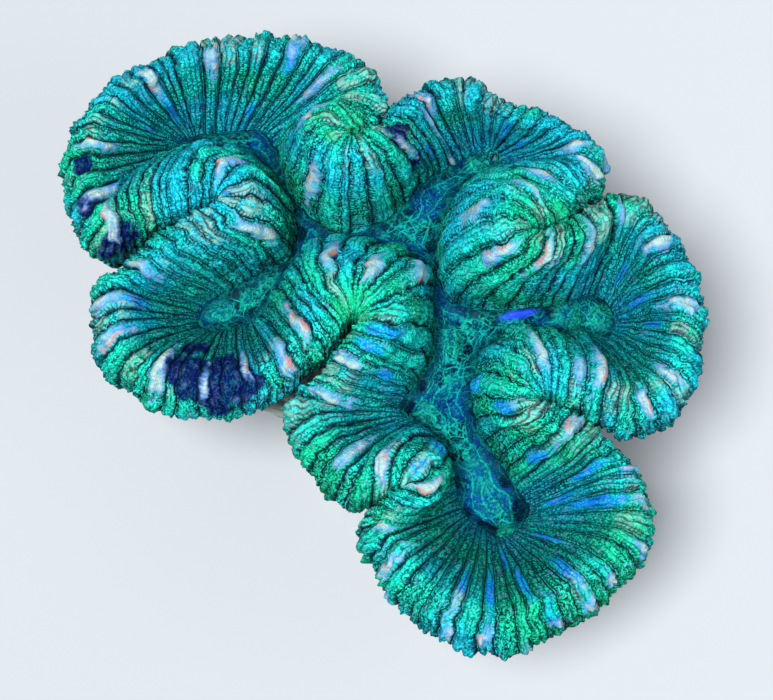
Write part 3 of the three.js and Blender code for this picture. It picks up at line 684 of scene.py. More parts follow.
    def raised(self):
        """How far each point moves from the plain sheet."""
        width = self.width()
        faded = self.ridge_fade()
        ragged = self.roughness()
        swell = fade(0.1, 0.9, self.fields["pale"])
        top = 1 - self.across**2
        reach = np.minimum(self.settings.ridge_height / MM, RIDGE_SHARE * width) * faded
        rim = fade(0.0, 1.5, self.from_crest)
        frill = (1 - 0.3 * rim) * self.ring_noise("frill") + (0.6 + 0.7 * rim) * self.ring_noise("fine_frill")
        frill = frill * (1 + rim)
        small = np.minimum(1, width)
        height = reach * self.ridge_shape()
        height = height + small * self.settings.frill / MM * frill * mix(0.3, 1, ragged) * (1 - 0.4 * swell)
        height = height + small * SWELL_MM * swell * top
        height = height + small * STREAK_MM * fade(0.2, 0.8, self.fields["blue"]) * top
        height = height + small * HEAVE_MM * self.ring_noise("heave") * faded
        small_wave = 0.8 * self.ring_noise("small_sway") + 0.4 * self.ring_noise("fine_sway")
        wave = self.ring_noise("sway") + small_wave * ragged
        sway = small * self.settings.wave / MM * wave * mix(0.45, 1.2, ragged) * faded
        return self.normal * height[..., None] + self.sideways * sway[..., None]

    def lobe_columns(self):
        """Columns of each lobe's piece, cut in the groove at the middle of each fold."""
        folds = [i for i, section in enumerate(MARGIN) if section[0] == "fold"]
        middles = [(SECTION_ENDS[i] + SECTION_ENDS[i + 1]) / 2 for i in folds]
        grooves = find_places(self.ridge_edges)
        away = [np.abs((grooves - m + len(RIBS) / 2) % len(RIBS) - len(RIBS) / 2) for m in middles]
        cuts = sorted(int(a.argmin()) * RIDGE_COLUMNS for a in away)
        starts = [cuts[-1] - len(self.turn)] + cuts[:-1]
        return [np.arange(a, b + 1) % len(self.turn) for a, b in zip(starts, cuts)]

    def values(self):
        """Fields of the sheet that its material reads."""
        ribs = self.ribs
        wall = (self.base[..., 2] - ribs.floor_height) / (ribs.crest_height - ribs.floor_height)
        inner = np.arange(len(self.base))[:, None] < SLOPE_ROWS
        drop = ribs.crest_height - self.base[..., 2]
        frosted = self.per_ridge(-1, 1) + 0.6 * self.ring_noise("frost")
        return {
            "ridge": np.clip(self.ridge_shape() * np.maximum(self.ridge_fade(), 0.35), -1, 1.2),
            "across": np.broadcast_to(self.across, wall.shape),
            "aside": self.across * self.width() / 2,
            "along": self.along,
            "low": np.where(inner, 1 - fade(0.05, 0.7, wall), fade(1.2, 3.4, drop)),
            "outside": np.maximum(fade(0, 1.5, self.from_crest), 0.65 * ribs.fold),
            "ragged": self.roughness(),
            "tint": self.per_ridge(-1, 1) + 0.5 * self.ring_noise("tint"),
            "region": fade(5, 24, self.base[..., 1]) - 0.6 * fade(-5, -20, self.base[..., 1]),
            "frost": self.crest_near() * frosted,
            "shade": self.shade(),
            **self.fields,
        }


def link_new(name, data):
    """A new object in the scene."""
    thing = bpy.data.objects.new(name, data)
    bpy.context.scene.collection.objects.link(thing)
    return thing


def build_sheet(name, points, values, closed=False):
    """A piece from a grid of points given by row and column, with a float attribute for each named value."""
    rows, columns = points.shape[:2]
    grid = bmesh.new()
    bmesh.ops.create_grid(grid, x_segments=columns - 1, y_segments=rows - 1, size=1)
    mesh = bpy.data.meshes.new(name)
    grid.to_mesh(mesh)
    grid.free()
    mesh.vertices.foreach_set("co", (points * MM).astype(np.float32).ravel())
    for key, value in values.items():
        attribute = mesh.attributes.new(key, "FLOAT", "POINT")
        attribute.data.foreach_set("value", np.ascontiguousarray(value, np.float32).ravel())
    if closed:
        close_ring(mesh)
    mesh.shade_smooth()
    mesh.update()
    return link_new(name, mesh)


def close_ring(mesh):
    """Joins a sheet's two side edges and caps its lower end."""
    ring = bmesh.new()
    ring.from_mesh(mesh)
    bmesh.ops.remove_doubles(ring, verts=ring.verts, dist=0.002 * MM)
    low = [e for e in ring.edges if e.is_boundary and all(v.co.z < 0.01 * MM for v in e.verts)]
    bmesh.ops.holes_fill(ring, edges=low, sides=0)
    bmesh.ops.triangulate(ring, faces=[f for f in ring.faces if len(f.verts) > 4])
    ring.to_mesh(mesh)
    ring.free()


def finish_piece(piece, material):
    """Gives a piece its material and its place in the frame."""
    piece.data.materials.append(material)
    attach(piece, "root")
    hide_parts("brain_coral")


class Look:
    """A material made from named fields over a piece, each of them an output of a shader node."""

    def __init__(self, name, settings, values, patterns):
        self.settings = settings
        self.material = bpy.data.materials.new(name)
        self.material.use_nodes = True
        self.tree = self.material.node_tree
        self.tree.nodes.clear()
        place = self.add("TexCoord", output="Object")
        self.place = self.add("Mapping", {"Vector": place, "Scale": (1 / MM,) * 3})
        self.fields = {value: self.add("Attribute", output="Fac", attribute_name=value) for value in values}
        for field, (size, detail, distortion, shift) in patterns.items():
            moved = self.add("Mapping", {"Vector": self.place, "Location": (shift,) * 3})
            inputs = {"Vector": moved, "Scale": LUMP_SCALE / size, "Detail": detail, "Distortion": distortion}
            self.fields[field] = self.add("TexNoise", inputs)

    def add(self, kind, inputs=None, output=0, **settings):
        """Adds a node and gives its output. An input is a value or another node's output."""
        node = self.tree.nodes.new("ShaderNode" + kind)
        for key, value in settings.items():
            setattr(node, key, value)
        for key, value in (inputs or {}).items():
            if isinstance(value, bpy.types.NodeSocket):
                self.tree.links.new(value, node.inputs[key])
            else:
                node.inputs[key].default_value = value
        return node.outputs[output] if node.outputs else None

    def weigh(self, start=0.0, **weights):
        """The sum of fields, each times its weight."""
        total = start
        for field, weight in weights.items():
            total = self.add("Math", {0: self.fields[field], 1: weight, 2: total}, operation="MULTIPLY_ADD")
        return total

    def wave(self, **weights):
        """A wave along a sum of fields, from -1 to 1."""
        return self.add("Math", {0: self.weigh(**weights)}, operation="SINE")

    def share(self, *factors):
        """The product of factors. A factor is a number, a field, or a field and the two values between which
        it fades in smoothly, with its shares at those two if they aren't 0 and 1."""
        product = None
        for factor in factors:
            if isinstance(factor, tuple):
                field, low, high, *ends = factor
                start, end = ends or (0.0, 1.0)
                inputs = {"Value": self.fields[field], "From Min": low, "From Max": high}
                inputs |= {"To Min": start, "To Max": end}
                factor = self.add("MapRange", inputs, interpolation_type="SMOOTHSTEP")
            elif isinstance(factor, str):
                factor = self.fields[factor]
            if product is None:
                product = factor
            else:
                product = self.add("Math", {0: product, 1: factor}, operation="MULTIPLY")
        return product

    def winding_lines(self, field, thickness):
        """Thin winding lines, 1 on a line, where a pattern crosses its middle."""
        self.fields["off_line"] = self.add("Math", {0: self.weigh(-0.5, **{field: 1})}, operation="ABSOLUTE")
        return self.share(("off_line", 0.0, thickness, 1.0, 0.0))

    def lay_colours(self, base, *layers):
        """Colours laid one over the other, each with the factors of how much of it shows."""
        colour = self.find_colour(base)
        for top, *factors in layers:
            inputs = {0: self.share(*factors), 6: colour, 7: self.find_colour(top)}
            colour = self.add("Mix", inputs, output=2, data_type="RGBA")
        return colour

    def find_colour(self, colour):
        """A setting's colour by its name, or an output as it is."""
        return (*getattr(self.settings, colour), 1) if isinstance(colour, str) else colour

    def finish(self, colour, relief, *, roughness, ior, strength, height_mm):
        """The material, from its colour, its relief and how it shines."""
        bump = self.add("Bump", {"Height": relief, "Strength": strength, "Distance": height_mm * MM})
        inputs = {"Base Color": colour, "Roughness": roughness, "IOR": ior, "Specular IOR Level": DULL_SHINE}
        self.add("OutputMaterial", {"Surface": self.add("BsdfPrincipled", inputs | {"Normal": bump})})
        return self.material


def build_flesh_material(settings, values):
    """Living tissue, kept moist: satin teal ridges under a fine bright net, with dark grooves between. A
    painted highlight lightens the ridge tops, and painted shade darkens the grooves, the foot of the inner
    slopes, the lower flanks and the inner slopes at the front.
    """
    look = Look("moist_ribbed_tissue", settings, values, FLESH_PATTERNS)
    fields = look.fields
    fields["net"] = look.winding_lines("net_noise", NET_THICKNESS)
    fields["spot_distance"] = look.add("TexVoronoi", {"Vector": look.place, "Scale": 1 / SPOT_MM}, "Distance")
    fields["spots"] = look.share(("spot_distance", 0.62, 0.22))
    fields["off_middle"] = look.add("Math", {0: fields["across"]}, operation="ABSOLUTE")
    fields["jag"] = look.weigh(-0.5, uneven=1)
    for field, jaggedness in (("pale", 0.9), ("pink", 0.9), ("blue", 0.45), ("dark", 0.45)):
        fields[field + "_place"] = look.weigh(**{field: 1, "jag": jaggedness})

    # Cross lines on the flanks, furrows along the ridge, and the groove on either side, which also takes
    # painted shade. A wave runs along its first field, and the others bend it.
    fields["stripe_wave"] = look.wave(along=2 * math.pi / STRIPE_MM, off_middle=2.2, patchy=14)
    fields["stripes"] = look.share(
        ("stripe_wave", 0.2, 0.9), ("off_middle", 0.3, 0.7), ("ragged", 0, 1, 0.25, 1.0)
    )
    fields["furrow_wave"] = look.wave(aside=2 * math.pi / FURROW_MM, patchy=9, tint=11, jag=3.5)
    fields["furrows"] = look.share(
        ("furrow_wave", 0.35, 0.95),
        ("patchy", 0.35, 0.55, 0.35, 1.0),
        ("ragged", 0, 1, 0.75, 0.6),
        ("pale", 0.2, 0.6, 1.0, 0.2),
    )
    fields["groove_place"] = look.weigh(off_middle=1, jag=0.5)
    fields["grooves"] = look.share(("groove_place", 0.74, 0.96))
    fields["granules"] = look.share(("grain", 0.35, 0.6, 0.75, 1.0), ("stripe_wave", -0.9, 0.2, 0.65, 1.0))

    # Green, teal and cyan regions of the ground, of the painted highlight on the ridge tops and of the net
    fields["hue"] = look.weigh(tint=0.06, broad=1, region=0.09)
    green = ("hue", 0.52, 0.32)
    cyan = ("hue", 0.48, 0.66)
    ridge_highlight_colour = look.lay_colours("light", ("green_highlight", green), ("cyan", cyan))
    net_colour = look.lay_colours("net", ("green_net", green), ("cyan_net", cyan))
    # Painted shade on the lower flanks of the folds and under the rim
    low_outside_shade = ("low_outside_shade", "low", ("outside", 0.2, 0.65, 0.0, 0.85))
    colour = look.lay_colours(
        "teal",
        ("green", green),
        ("cyan", cyan, ("off_middle", 0.75, 0.1, 0.1, 0.9)),
        ("darker_tone_and_shade", ("tint", -0.3, -0.85), ("patchy", 0.38, 0.6, 0.4, 0.9)),
        # painted shade, bluish, at the foot of the inner slopes
        ("low_inside_shade", "low", ("outside", 0.0, 0.6, 0.75, 0.0)),
        low_outside_shade,
        ("cyan", ("blue_place", 0.1, 0.5, 0.0, 0.85)),
        # painted highlight on the ridge tops near the crest
        (ridge_highlight_colour, ("ridge", -0.2, 0.9), ("ragged", 0, 1, 0.25, 0.9), ("patchy", 0.35, 0.6, 0.5, 1.0)),
        ("groove", ("grain", 0.54, 0.4), ("ragged", 0, 1, 0.4, 0.3)),
        (net_colour, "spots", ("ragged", 0, 1, 0.8, 0.75), ("off_middle", 0.9, 0.5, 0.45, 1.0)),
        (net_colour, "net", ("ragged", 0, 1, 0.2, 0.95)),
        # painted shade darkening the inner slopes at the front
        ("darker_tone_and_shade", "shade"),
        # more painted shade on the lower flanks, in patches
        (*low_outside_shade, ("patchy", 0.38, 0.6, 0.1, 0.65)),
        ("blue", ("blue_place", 0.3, 1.1), ("spots", 0, 1, 0.85, 0.35)),
        ("frost", ("frost", 0.1, 0.8), ("uneven", 0.4, 0.6, 0.1, 0.8)),
        ("brown", ("frost", 0.0, 0.5), ("furrow_wave", -0.4, 0.5), ("patchy", 0.46, 0.58, 0.0, 0.6)),
        ("groove", "stripes", 0.72),
        ("groove", "furrows"),
        ("dark", ("dark_place", 0.2, 0.6), ("net", 0, 1, 0.98, 0.88)),
        ("lime", ("lime", 0.1, 0.9), ("spots", 0, 1, 0.25, 0.75)),
        ("lavender", ("pale_place", 0.0, 0.5, 0.0, 0.85), "granules"),
        ("cream", ("pale_place", 0.42, 0.95, 0.0, 0.95), "granules"),
        ("pink", ("pink_place", 0.3, 0.6), ("patchy", 0.44, 0.56, 0.0, 0.85)),
        # painted shade in the grooves between the ridges
        ("groove", "grooves", 0.95),
    )
    relief = look.weigh(net=0.4, spots=0.8, stripes=-0.7, furrows=-1, grooves=-1)
    return look.finish(
        colour, relief, roughness=0.65, ior=1.35, strength=0.65, height_mm=GRANULE_HEIGHT_MM
    )


def build_valley_material(settings, values):
    """Thin tissue over the valley floor: smooth, with dark blue hollows between fine bright green lines,
    painted shade in its deep hollows and near the flesh, and a painted highlight on its wet streak.
    """
    look = Look("thin_valley_tissue", settings, values, VALLEY_PATTERNS)
    fields = look.fields
    fields["fine_net"] = look.winding_lines("net_noise", FLOOR_NET_THICKNESS)
    fields["flow_wave"] = look.wave(gap=2 * math.pi / FLOW_MM, drift=14, fine_net=0.5)
    fields["flow"] = look.share(("flow_wave", 0.65, 0.98))
    warp = look.add("TexNoise", {"Vector": look.place, "Scale": CELL_WARP[0]}, "Color")
    moved = look.add("VectorMath", {0: warp, 1: CELL_WARP[1:] * 3, 2: look.place}, operation="MULTIPLY_ADD")
    cells = {"Vector": moved, "Scale": 1 / CELL_MM}
    fields["cells"] = look.add("TexVoronoi", cells, "Distance", feature="DISTANCE_TO_EDGE")
    fields["cell_lines"] = look.share(("cells", 0.1, 0.02))
    fields["netted"] = look.share(("broad", 0.52, 0.42))
    fields["shown"] = look.share(("hollow_shade", 0.2, 0.9, 1.0, 0.25), ("grain", 0.35, 0.55, 0.45, 1.0))
    speckle = ("grain", 0.3, 0.6, 0.1, 0.5)
    colour = look.lay_colours(
        "deep_ground_and_shade",
        ("blue", ("broad", 0.42, 0.62)),
        ("teal", ("bent", 0.4, 0.62), ("hollow_shade", 0.2, 0.8, 0.9, 0.05)),
        ("deep_ground_and_shade", ("cells", 0.1, 0.35), "netted", 0.75),
        # painted shade in the deep hollows
        ("navy_hollow_shade", ("hollow_shade", 0.2, 0.7, 0.0, 0.92)),
        ("teal", "mouth", speckle),
        ("line", "fine_net", 0.6, "shown"),
        ("line", "flow", 0.75, "shown"),
        ("line", "cell_lines", "netted", "shown"),
        # painted shade where the floor runs near and under the flesh
        ("deep_ground_and_shade", "edge", 0.7),
        ("lime", "green", speckle),
        ("lime", "spoke", 0.5),
        # painted highlight on the smooth wet streak
        ("streak_highlight", "gloss_and_highlight"),
    )
    fields["lines"] = look.weigh(cell_lines=1, flow=0.8, fine_net=0.5)
    relief = look.share("lines", ("gloss_and_highlight", 0, 1, 1.0, 0.05))
    rough = look.share(("gloss_and_highlight", 0, 1, 0.5, 0.12))
    return look.finish(colour, relief, roughness=rough, ior=1.36, strength=0.9, height_mm=LINE_HEIGHT_MM)


def build_stone_material(settings, values):
    """Bare aragonite, the coral's own porous stone: matt and stained, with pale ribs, painted shade between
    them and in the pores, and a painted shadow close under the flesh.
    """
    look = Look("bare_aragonite", settings, values, STONE_PATTERNS)
    look.fields["pores"] = look.add("TexVoronoi", {"Vector": look.place, "Scale": 1 / PORE_MM}, "Distance")
    look.fields["pore_edge"] = look.share(("pores", 0.0, 0.35))
    colour = look.lay_colours(
        "stone",
        ("stain", ("stain", 0.4, 0.62, 0.0, 0.7)),
        # painted shade between the ribs and in the pores
        ("hollow_shade", ("rib", -0.6, 0.5, 0.8, 0.0)),
        ("hollow_shade", ("pores", 0.0, 0.28, 0.6, 0.0)),
        # painted shadow on the stone close under the flesh
        ("shadow_under_flesh", ("low", 0.35, 0.05, 0.0, 0.75)),
        ("cut", ("low", 0.55, 1.0, 0.0, 0.45)),
    )
    relief = look.weigh(grain=0.6, pore_edge=1)
    return look.finish(colour, relief, roughness=0.85, ior=1.53, strength=0.8, height_mm=PORE_DEPTH_MM)


def build_flesh(settings):
    """The ribbed flesh, one piece to a lobe, split in the grooves where two lobes fold together."""
    flesh = Flesh(settings)
    values = flesh.values()
    material = build_flesh_material(settings, values)
    for name, columns in zip("abcdef", flesh.lobe_columns()):
        here = {key: value[:, columns] for key, value in values.items()}
        piece = build_sheet("flesh_lobe_" + name, flesh.points[:, columns], here)
        finish_piece(piece, material)


def inside_line(points, line):
    """Which points lie inside a closed line, in plan."""
    start, end = line, np.roll(line, -1, axis=0)
    inside = np.zeros(len(points), bool)
    for (x0, y0), (x1, y1) in zip(start[:, :2], end[:, :2]):
        crossing = (y0 > points[:, 1]) != (y1 > points[:, 1])
        if y0 != y1:
            inside ^= crossing & (points[:, 0] < x0 + (points[:, 1] - y0) * (x1 - x0) / (y1 - y0))
    return inside


def shape_mouths(x, y, settings):
    """Height of the mouths over the floor, and how much of each place is mouth, green, glossy streak with its
    painted highlight, and spoke.
    """
    height, mouth, green, gloss_and_highlight, spoke = (np.zeros_like(x) for _ in range(5))
    for mx, my, radius, rise, stretch, turn, tint in MOUTHS:
        c, s = math.cos(math.radians(turn)), math.sin(math.radians(turn))
        along = ((x - mx) * c + (y - my) * s) / (radius * stretch)
        across = ((y - my) * c - (x - mx) * s) / radius
        away = np.hypot(along, across)
        dome = 1 - fade(0.0, 1.0, away)
        spokes = np.cos(MOUTH_SPOKES * np.arctan2(across, along))
        spokes = spokes * fade(0.15, 0.5, away) * (1 - fade(0.7, 1.05, away))
        slit = np.exp(-((across / SLIT_WIDTH) ** 2)) * (1 - fade(0.2, 0.6, np.abs(along)))
        height += rise * settings.mouth_scale * dome
        # The streak is glossy, and the valley's material gives it a painted highlight.
        if tint == 0:  # the smooth wet streak, which isn't a mouth
            gloss_and_highlight = np.maximum(gloss_and_highlight, 1 - fade(0.4, 1.0, away))
            continue
        height += SPOKE_HEIGHT * spokes - SLIT_DEPTH * rise * settings.mouth_scale * slit
        spoke = np.maximum(spoke, np.clip(spokes, 0, 1))
        mouth = np.maximum(mouth, 1 - fade(0.6, 1.1, away))
        green = np.maximum(green, tint * (1 - fade(0.5, 1.1, away)))
    return height, mouth, green, gloss_and_highlight, spoke


def floor_noise(flat, name):
    """One of the noises over the floor."""
    size, shift, seed = FLOOR_NOISES[name]
    x, y = flat.T / size + shift
    return noise(x, y, seed)


def shape_hollows(flat, height):
    """Depth of the hollows below the floor, and how much of each place is hollow and takes their painted
    shade.
    """
    x, y, _ = on_photo(np.column_stack((flat, height)))
    ragged = 0.3 * floor_noise(flat, "hollow_edge")
    sunk, hollow_shade = np.zeros_like(height), np.zeros_like(height)
    for hollow_x, hollow_y, radius, depth in HOLLOWS:
        away = np.hypot(x - hollow_x, y - hollow_y) / (radius * PIXELS_PER_MM) + ragged
        inside = 1 - fade(0.4, 1.2, away)
        sunk = np.maximum(sunk, depth * inside)
        hollow_shade = np.maximum(hollow_shade, inside)
    return sunk, hollow_shade


def measure_gaps(flat, line):
    """How far each point lies inside the floor's line, or outside it below zero."""
    tree = kdtree.KDTree(len(line))
    for i, point in enumerate(line):
        tree.insert(Vector((point[0], point[1], 0)), i)
    tree.balance()
    gap = np.array([tree.find(Vector((x, y, 0)))[2] for x, y in flat])
    return np.where(inside_line(flat, line), gap, -gap)


def spread_heights(flat, line):
    """Heights of the floor's line carried inwards, where the nearer parts of the line count for more."""
    height = np.zeros(len(flat))
    weights = np.zeros(len(flat))
    for x, y, z in line[::4]:
        weight = 1 / ((flat[:, 0] - x) ** 2 + (flat[:, 1] - y) ** 2 + TINY) ** 2
        height += weight * z
        weights += weight
    return height / weights


def trim_floor(mesh):
    """Takes off what lies too far under the flesh."""
    floor = bmesh.new()
    floor.from_mesh(mesh)
    gap = floor.verts.layers.float["gap"]
    beyond = [v for v in floor.verts if v[gap] < -FLOOR_TUCK]
    bmesh.ops.delete(floor, geom=beyond, context="VERTS")
    floor.to_mesh(mesh)
    floor.free()


def build_valley(settings):
    """The winding valley floor with its raised mouths, tucked under the flesh all round."""
    line = Ribs(np.linspace(0, len(RIBS), FLOOR_LINE_POINTS, endpoint=False)).slope(1.0)
    low, high = line.min(axis=0) - FLOOR_TUCK, line.max(axis=0) + FLOOR_TUCK
    columns, rows = (int((high[i] - low[i]) / FLOOR_MESH) for i in (0, 1))
    across, up = np.meshgrid(np.linspace(low[0], high[0], columns), np.linspace(low[1], high[1], rows))
    flat = np.column_stack((across.ravel(), up.ravel()))
    gap = measure_gaps(flat, line)
    height = spread_heights(flat, line)
    raised, mouth, green, gloss_and_highlight, spoke = shape_mouths(flat[:, 0], flat[:, 1], settings)
    sunk, hollow_shade = shape_hollows(flat, height)
    middle = fade(0.2, 1.4, gap)
    lumps = sum(rise * floor_noise(flat, name) for name, rise in FLOOR_LUMPS_MM.items())
    height += raised * fade(-0.2, 0.5, gap) + lumps * middle * (1 - gloss_and_highlight) - (FLOOR_SINK + sunk) * middle
    height += TUCK_SLOPE * np.minimum(gap, 0)
    points = np.column_stack((flat, height)).reshape(rows, columns, 3)
    values = {"mouth": mouth, "green": green, "gloss_and_highlight": gloss_and_highlight, "spoke": spoke, "hollow_shade": hollow_shade}
    # edge: near the flesh and under it, where the material lays painted shade
    values |= {"edge": 1 - middle, "gap": gap}
    piece = build_sheet("valley_floor", points, values)
    trim_floor(piece.data)
    finish_piece(piece, build_valley_material(settings, values))


def build_foot(settings):
    """The bare stone foot, ribbed below the flesh and cut off flat."""
    turns = np.append(np.arange(FOOT_COLUMNS) / FOOT_COLUMNS, 0)
    ribs = Ribs(find_places(turns))
    shares = np.concatenate(((-FOOT_TUCK,), np.linspace(0, 1, FOOT_ROWS)))
    base = np.array([ribs.foot(share) for share in shares])
    ahead = np.roll(base[:, :-1], -2, axis=1) - np.roll(base[:, :-1], 2, axis=1)
    ahead = np.concatenate((ahead, ahead[:, :1]), axis=1)
    normal = unit(np.cross(ahead, np.gradient(base, axis=0)))
    seen = (fade(0, 0.2, shares) * (1 - fade(0.82, 1.0, shares)))[:, None]
    lumps_round, lumps_down = FOOT_LUMPS
    rough = noise(turns * lumps_round + 0 * base[..., 0], shares[:, None] * lumps_down + 3, 51, lumps_round)
    rib = np.cos(2 * np.pi * turns * FOOT_RIBS) + 0.5 * rough
    height = (settings.costa_height / MM * rib + 0.3 * rough) * seen
    points = base + normal * height[..., None]
    points[-1, :, 2] = 0
    low = np.repeat(shares[:, None], len(turns), axis=1)
    values = {"rib": rib * np.ones_like(low), "low": low}
    piece = build_sheet("stone_foot", points, values, closed=True)
    finish_piece(piece, build_stone_material(settings, values))


def build_floor(settings):
    """A plain floor of matt pale paper."""
    ground = bmesh.new()
    bmesh.ops.create_grid(ground, x_segments=1, y_segments=1, size=settings.floor_size)
    mesh = bpy.data.meshes.new("floor")
    ground.to_mesh(mesh)
    ground.free()
    paper = bpy.data.materials.new("matt_pale_paper")
    paper.use_nodes = True
    shader = paper.node_tree.nodes["Principled BSDF"]
    shader.inputs["Base Color"].default_value = (*settings.floor_colour, 1)
    shader.inputs["Roughness"].default_value = 0.9
    mesh.materials.append(paper)
    floor = link_new("floor", mesh)


def build_lights(settings, target):
    """A broad sun, two soft lights and a pale room."""
    for name, (place, kind, width, share) in LIGHTS.items():
        light = bpy.data.lights.new(name, kind)
        setattr(light, "angle" if kind == "SUN" else "size", width)
        light.energy = share * (settings.key_power if kind == "SUN" else settings.fill_power)
        lamp = link_new(name, light)
        lamp.location = place
        lamp.rotation_euler = (target - Vector(place)).to_track_quat("-Z", "Y").to_euler()
    world = bpy.data.worlds.new("pale_studio")
    world.use_nodes = True
    room = world.node_tree.nodes["Background"]
    room.inputs["Color"].default_value = (*settings.floor_colour, 1)
    room.inputs["Strength"].default_value = settings.room_light
    bpy.context.scene.world = world


def build_camera(target):
    """The camera at the photograph's angle."""
    lens = bpy.data.cameras.new("camera")
    lens.sensor_width = SENSOR_WIDTH
    lens.lens = FOCAL_PIXELS * SENSOR_WIDTH / PHOTO_SIZE[0]
    lens.clip_start, lens.clip_end = CAMERA_CLIP
    camera = link_new("camera", lens)
    back = Vector((0, -math.cos(CAMERA_ELEVATION), math.sin(CAMERA_ELEVATION)))
    camera.location = target + back * CAMERA_DISTANCE * MM
    camera.rotation_euler = (-back).to_track_quat("-Z", "Y").to_euler()
    bpy.context.scene.camera = camera


def build_stage(settings):
    """A plain pale floor, soft lights and the camera."""
    target = Vector(CAMERA_TARGET) * MM
    build_floor(settings)
    build_lights(settings, target)
    build_camera(target)
    bpy.context.scene.view_settings.view_transform = "Standard"


def colour_property(name, description, hex_colour):
    """A colour that a user can change."""
    colour = turn_linear(hex_colour)
    return FloatVectorProperty(
        name=name, description=description, subtype="COLOR", size=3, min=0, max=1, default=colour
    )


def number_property(name, description, default, **more):
    """A number that a user can change."""
    return FloatProperty(name=name, description=description, default=default, min=0, **more)


def length_property(name, description, metres):
    """A length that a user can change."""
    return number_property(name, description, metres, precision=6, subtype="DISTANCE", unit="LENGTH")


class FleshSettings(bpy.types.PropertyGroup):
    ridge_height: length_property("Ridge height", "Most that a ridge stands up", 0.36 * MM)
    frill: length_property("Frill", "Height of the small lumps on the ridges", 0.1 * MM)
    wave: length_property("Wave", "How far the ridges sway to the side", 0.24 * MM)
    green: colour_property("Green", "Ridges where the flesh is green", "#024c3c")
    teal: colour_property("Teal", "Ridges where the flesh is teal", "#02545c")
    cyan: colour_property("Cyan", "Brighter ridges", "#0692aa")
    # Darker tone of some ridges, and the colour of the painted shade on the inner slopes at the front
    darker_tone_and_shade: colour_property("Dusk", "Darker ridges", "#02303c")
    # Painted highlight: this colour and the next lighten the ridge tops near the crest
    light: colour_property("Light", "Tops of the ridges near the crest", "#09b0a8")
    green_highlight: colour_property("Green light", "The same where the flesh is green", "#08a47a")
    net: colour_property("Net", "Fine winding lines over the ridges", "#22ead0")
    green_net: colour_property("Green net", "The same lines where the flesh is green", "#1cdeaa")
    cyan_net: colour_property("Cyan net", "The same lines where the flesh is cyan", "#22d6ea")
    # Painted shade in the grooves between the ridges; the same colour draws the dark speckle, cross lines and
    # furrows of the pattern
    groove: colour_property("Groove", "Grooves between the ridges", "#011a2c")
    # Painted shade, bluish, at the foot of the inner slopes
    low_inside_shade: colour_property("Low inside", "Foot of the inner slopes", "#04509a")
    # Painted shade on the lower flanks of the folds and under the rim
    low_outside_shade: colour_property("Low outside", "Lower flanks of the folds and the rim", "#013016")
    frost: colour_property("Frost", "Pale frosting along the crest", "#84bcaa")
    brown: colour_property("Brown", "Brownish furrows along the crest", "#5c4a42")
    cream: colour_property("Cream", "Pale marks on the crest", "#a8beb2")
    lavender: colour_property("Lavender", "Middle of the pale marks", "#6c96d0")
    pink: colour_property("Pink", "Edge of the pale marks", "#be807c")
    blue: colour_property("Blue", "Blue streaks down the slopes", "#0c66dc")
    dark: colour_property("Dark", "Dark blue patches", "#05084e")
    lime: colour_property("Lime", "Bright places where folds meet", "#1fcf8c")


class ValleySettings(bpy.types.PropertyGroup):
    mouth_scale: number_property("Mouths", "Height of the mouths beside the usual", 1.0)
    # Ground colour of the floor and its dark cells, and the painted shade near and under the flesh
    deep_ground_and_shade: colour_property("Deep", "Hollows of the floor", "#01202e")
    blue: colour_property("Blue", "Bluer hollows of the floor", "#03388a")
    # Painted shade in the deepest hollows
    navy_hollow_shade: colour_property("Navy", "Deepest hollows", "#010326")
    teal: colour_property("Teal", "Thicker tissue of the floor", "#045274")
    line: colour_property("Lines", "Raised lines round the hollows", "#10aea2")
    lime: colour_property("Lime", "Bright mouths", "#1fc492")
    # Painted highlight on the smooth wet streak
    streak_highlight: colour_property("Violet", "Smooth wet streak", "#2748e0")


class FootSettings(bpy.types.PropertyGroup):
    costa_height: length_property("Rib height", "Half the height of the stone ribs", 0.3 * MM)
    stone: colour_property("Stone", "Bare stone", "#b4bcb2")
    stain: colour_property("Stain", "Stained stone", "#6f8a80")
    # Painted shade: stone darkened between the ribs and in the pores
    hollow_shade: colour_property("Hollow", "Stone between the ribs and in the pores", "#3f5350")
    # Painted shadow: the stone darkened close under the flesh
    shadow_under_flesh: colour_property("Shaded", "Stained stone close under the flesh", "#20322f")
    cut: colour_property("Cut", "Clean stone near the cut", "#d5d6cb")


class StageSettings(bpy.types.PropertyGroup):
    floor_size: length_property("Floor", "Half the floor's width", 1.5)
    floor_colour: colour_property("Floor colour", "Colour of the floor and the room", "#aeb3b8")
    key_power: number_property("Key light", "Main light, in watts a square metre", 5.2)
    fill_power: number_property("Fill light", "Power of the other lights", 1.0, unit="POWER")
    room_light: number_property("Room light", "Strength of the light from all round", 0.34)


class CORAL_OT_add_flesh(bpy.types.Operator):
    """Add the ribbed flesh of every lobe"""

    bl_idname = "coral.add_flesh"
    bl_label = "Add Flesh"

    def execute(self, context):
        build_flesh(context.scene.coral_flesh)
        return {"FINISHED"}


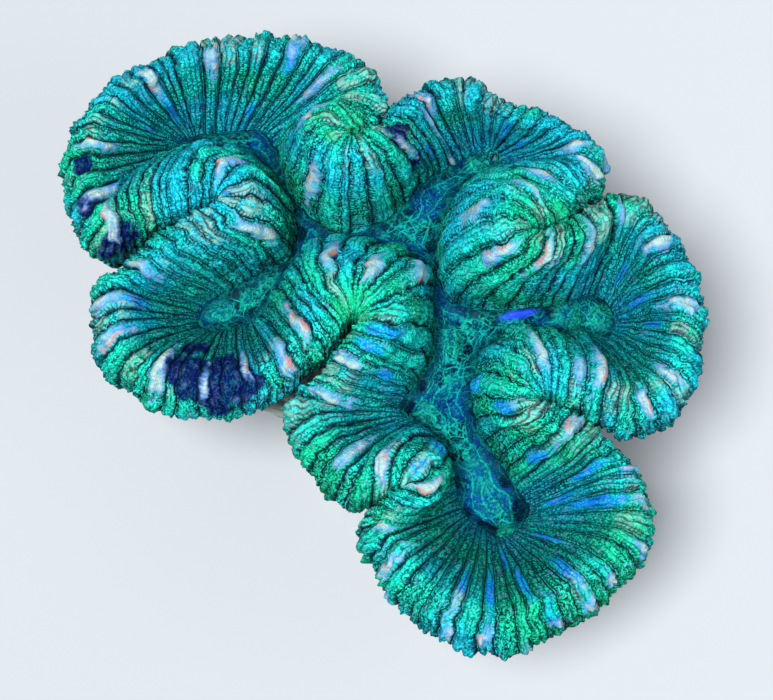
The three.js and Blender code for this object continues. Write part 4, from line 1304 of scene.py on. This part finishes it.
class CORAL_OT_add_valley(bpy.types.Operator):
    """Add the valley floor with its mouths"""

    bl_idname = "coral.add_valley"
    bl_label = "Add Valley Floor"

    def execute(self, context):
        build_valley(context.scene.coral_valley)
        return {"FINISHED"}


class CORAL_OT_add_foot(bpy.types.Operator):
    """Add the bare stone foot"""

    bl_idname = "coral.add_foot"
    bl_label = "Add Stone Foot"

    def execute(self, context):
        build_foot(context.scene.coral_foot)
        return {"FINISHED"}


class CORAL_OT_set_stage(bpy.types.Operator):
    """Set the floor, the lights and the camera"""

    bl_idname = "coral.set_stage"
    bl_label = "Set Stage"

    def execute(self, context):
        build_stage(context.scene.coral_stage)
        return {"FINISHED"}


GROUPS = {
    "coral_flesh": (FleshSettings, "coral.add_flesh"),
    "coral_valley": (ValleySettings, "coral.add_valley"),
    "coral_foot": (FootSettings, "coral.add_foot"),
    "coral_stage": (StageSettings, "coral.set_stage"),
}


class CORAL_PT_panel(bpy.types.Panel):
    """Makes each piece of the coral from its settings"""

    bl_label = "Brain Coral"
    bl_idname = "CORAL_PT_panel"
    bl_space_type = "VIEW_3D"
    bl_region_type = "UI"
    bl_category = "Coral"

    def draw(self, context):
        for group, (settings, operator) in GROUPS.items():
            box = self.layout.box()
            box.operator(operator)
            for key in settings.__annotations__:
                box.prop(getattr(context.scene, group), key)


CLASSES = (
    FleshSettings,
    ValleySettings,
    FootSettings,
    StageSettings,
    CORAL_OT_add_flesh,
    CORAL_OT_add_valley,
    CORAL_OT_add_foot,
    CORAL_OT_set_stage,
    CORAL_PT_panel,
)


def register():
    for cls in CLASSES:
        bpy.utils.register_class(cls)
    for group, (settings, _) in GROUPS.items():
        setattr(bpy.types.Scene, group, PointerProperty(type=settings))


def unregister():
    for group in GROUPS:
        delattr(bpy.types.Scene, group)
    for cls in reversed(CLASSES):
        bpy.utils.unregister_class(cls)


def main():
    register()
    bpy.ops.coral.add_flesh()
    bpy.ops.coral.add_valley()
    bpy.ops.coral.add_foot()
    bpy.ops.coral.set_stage()


if __name__ == "__main__":
    main()
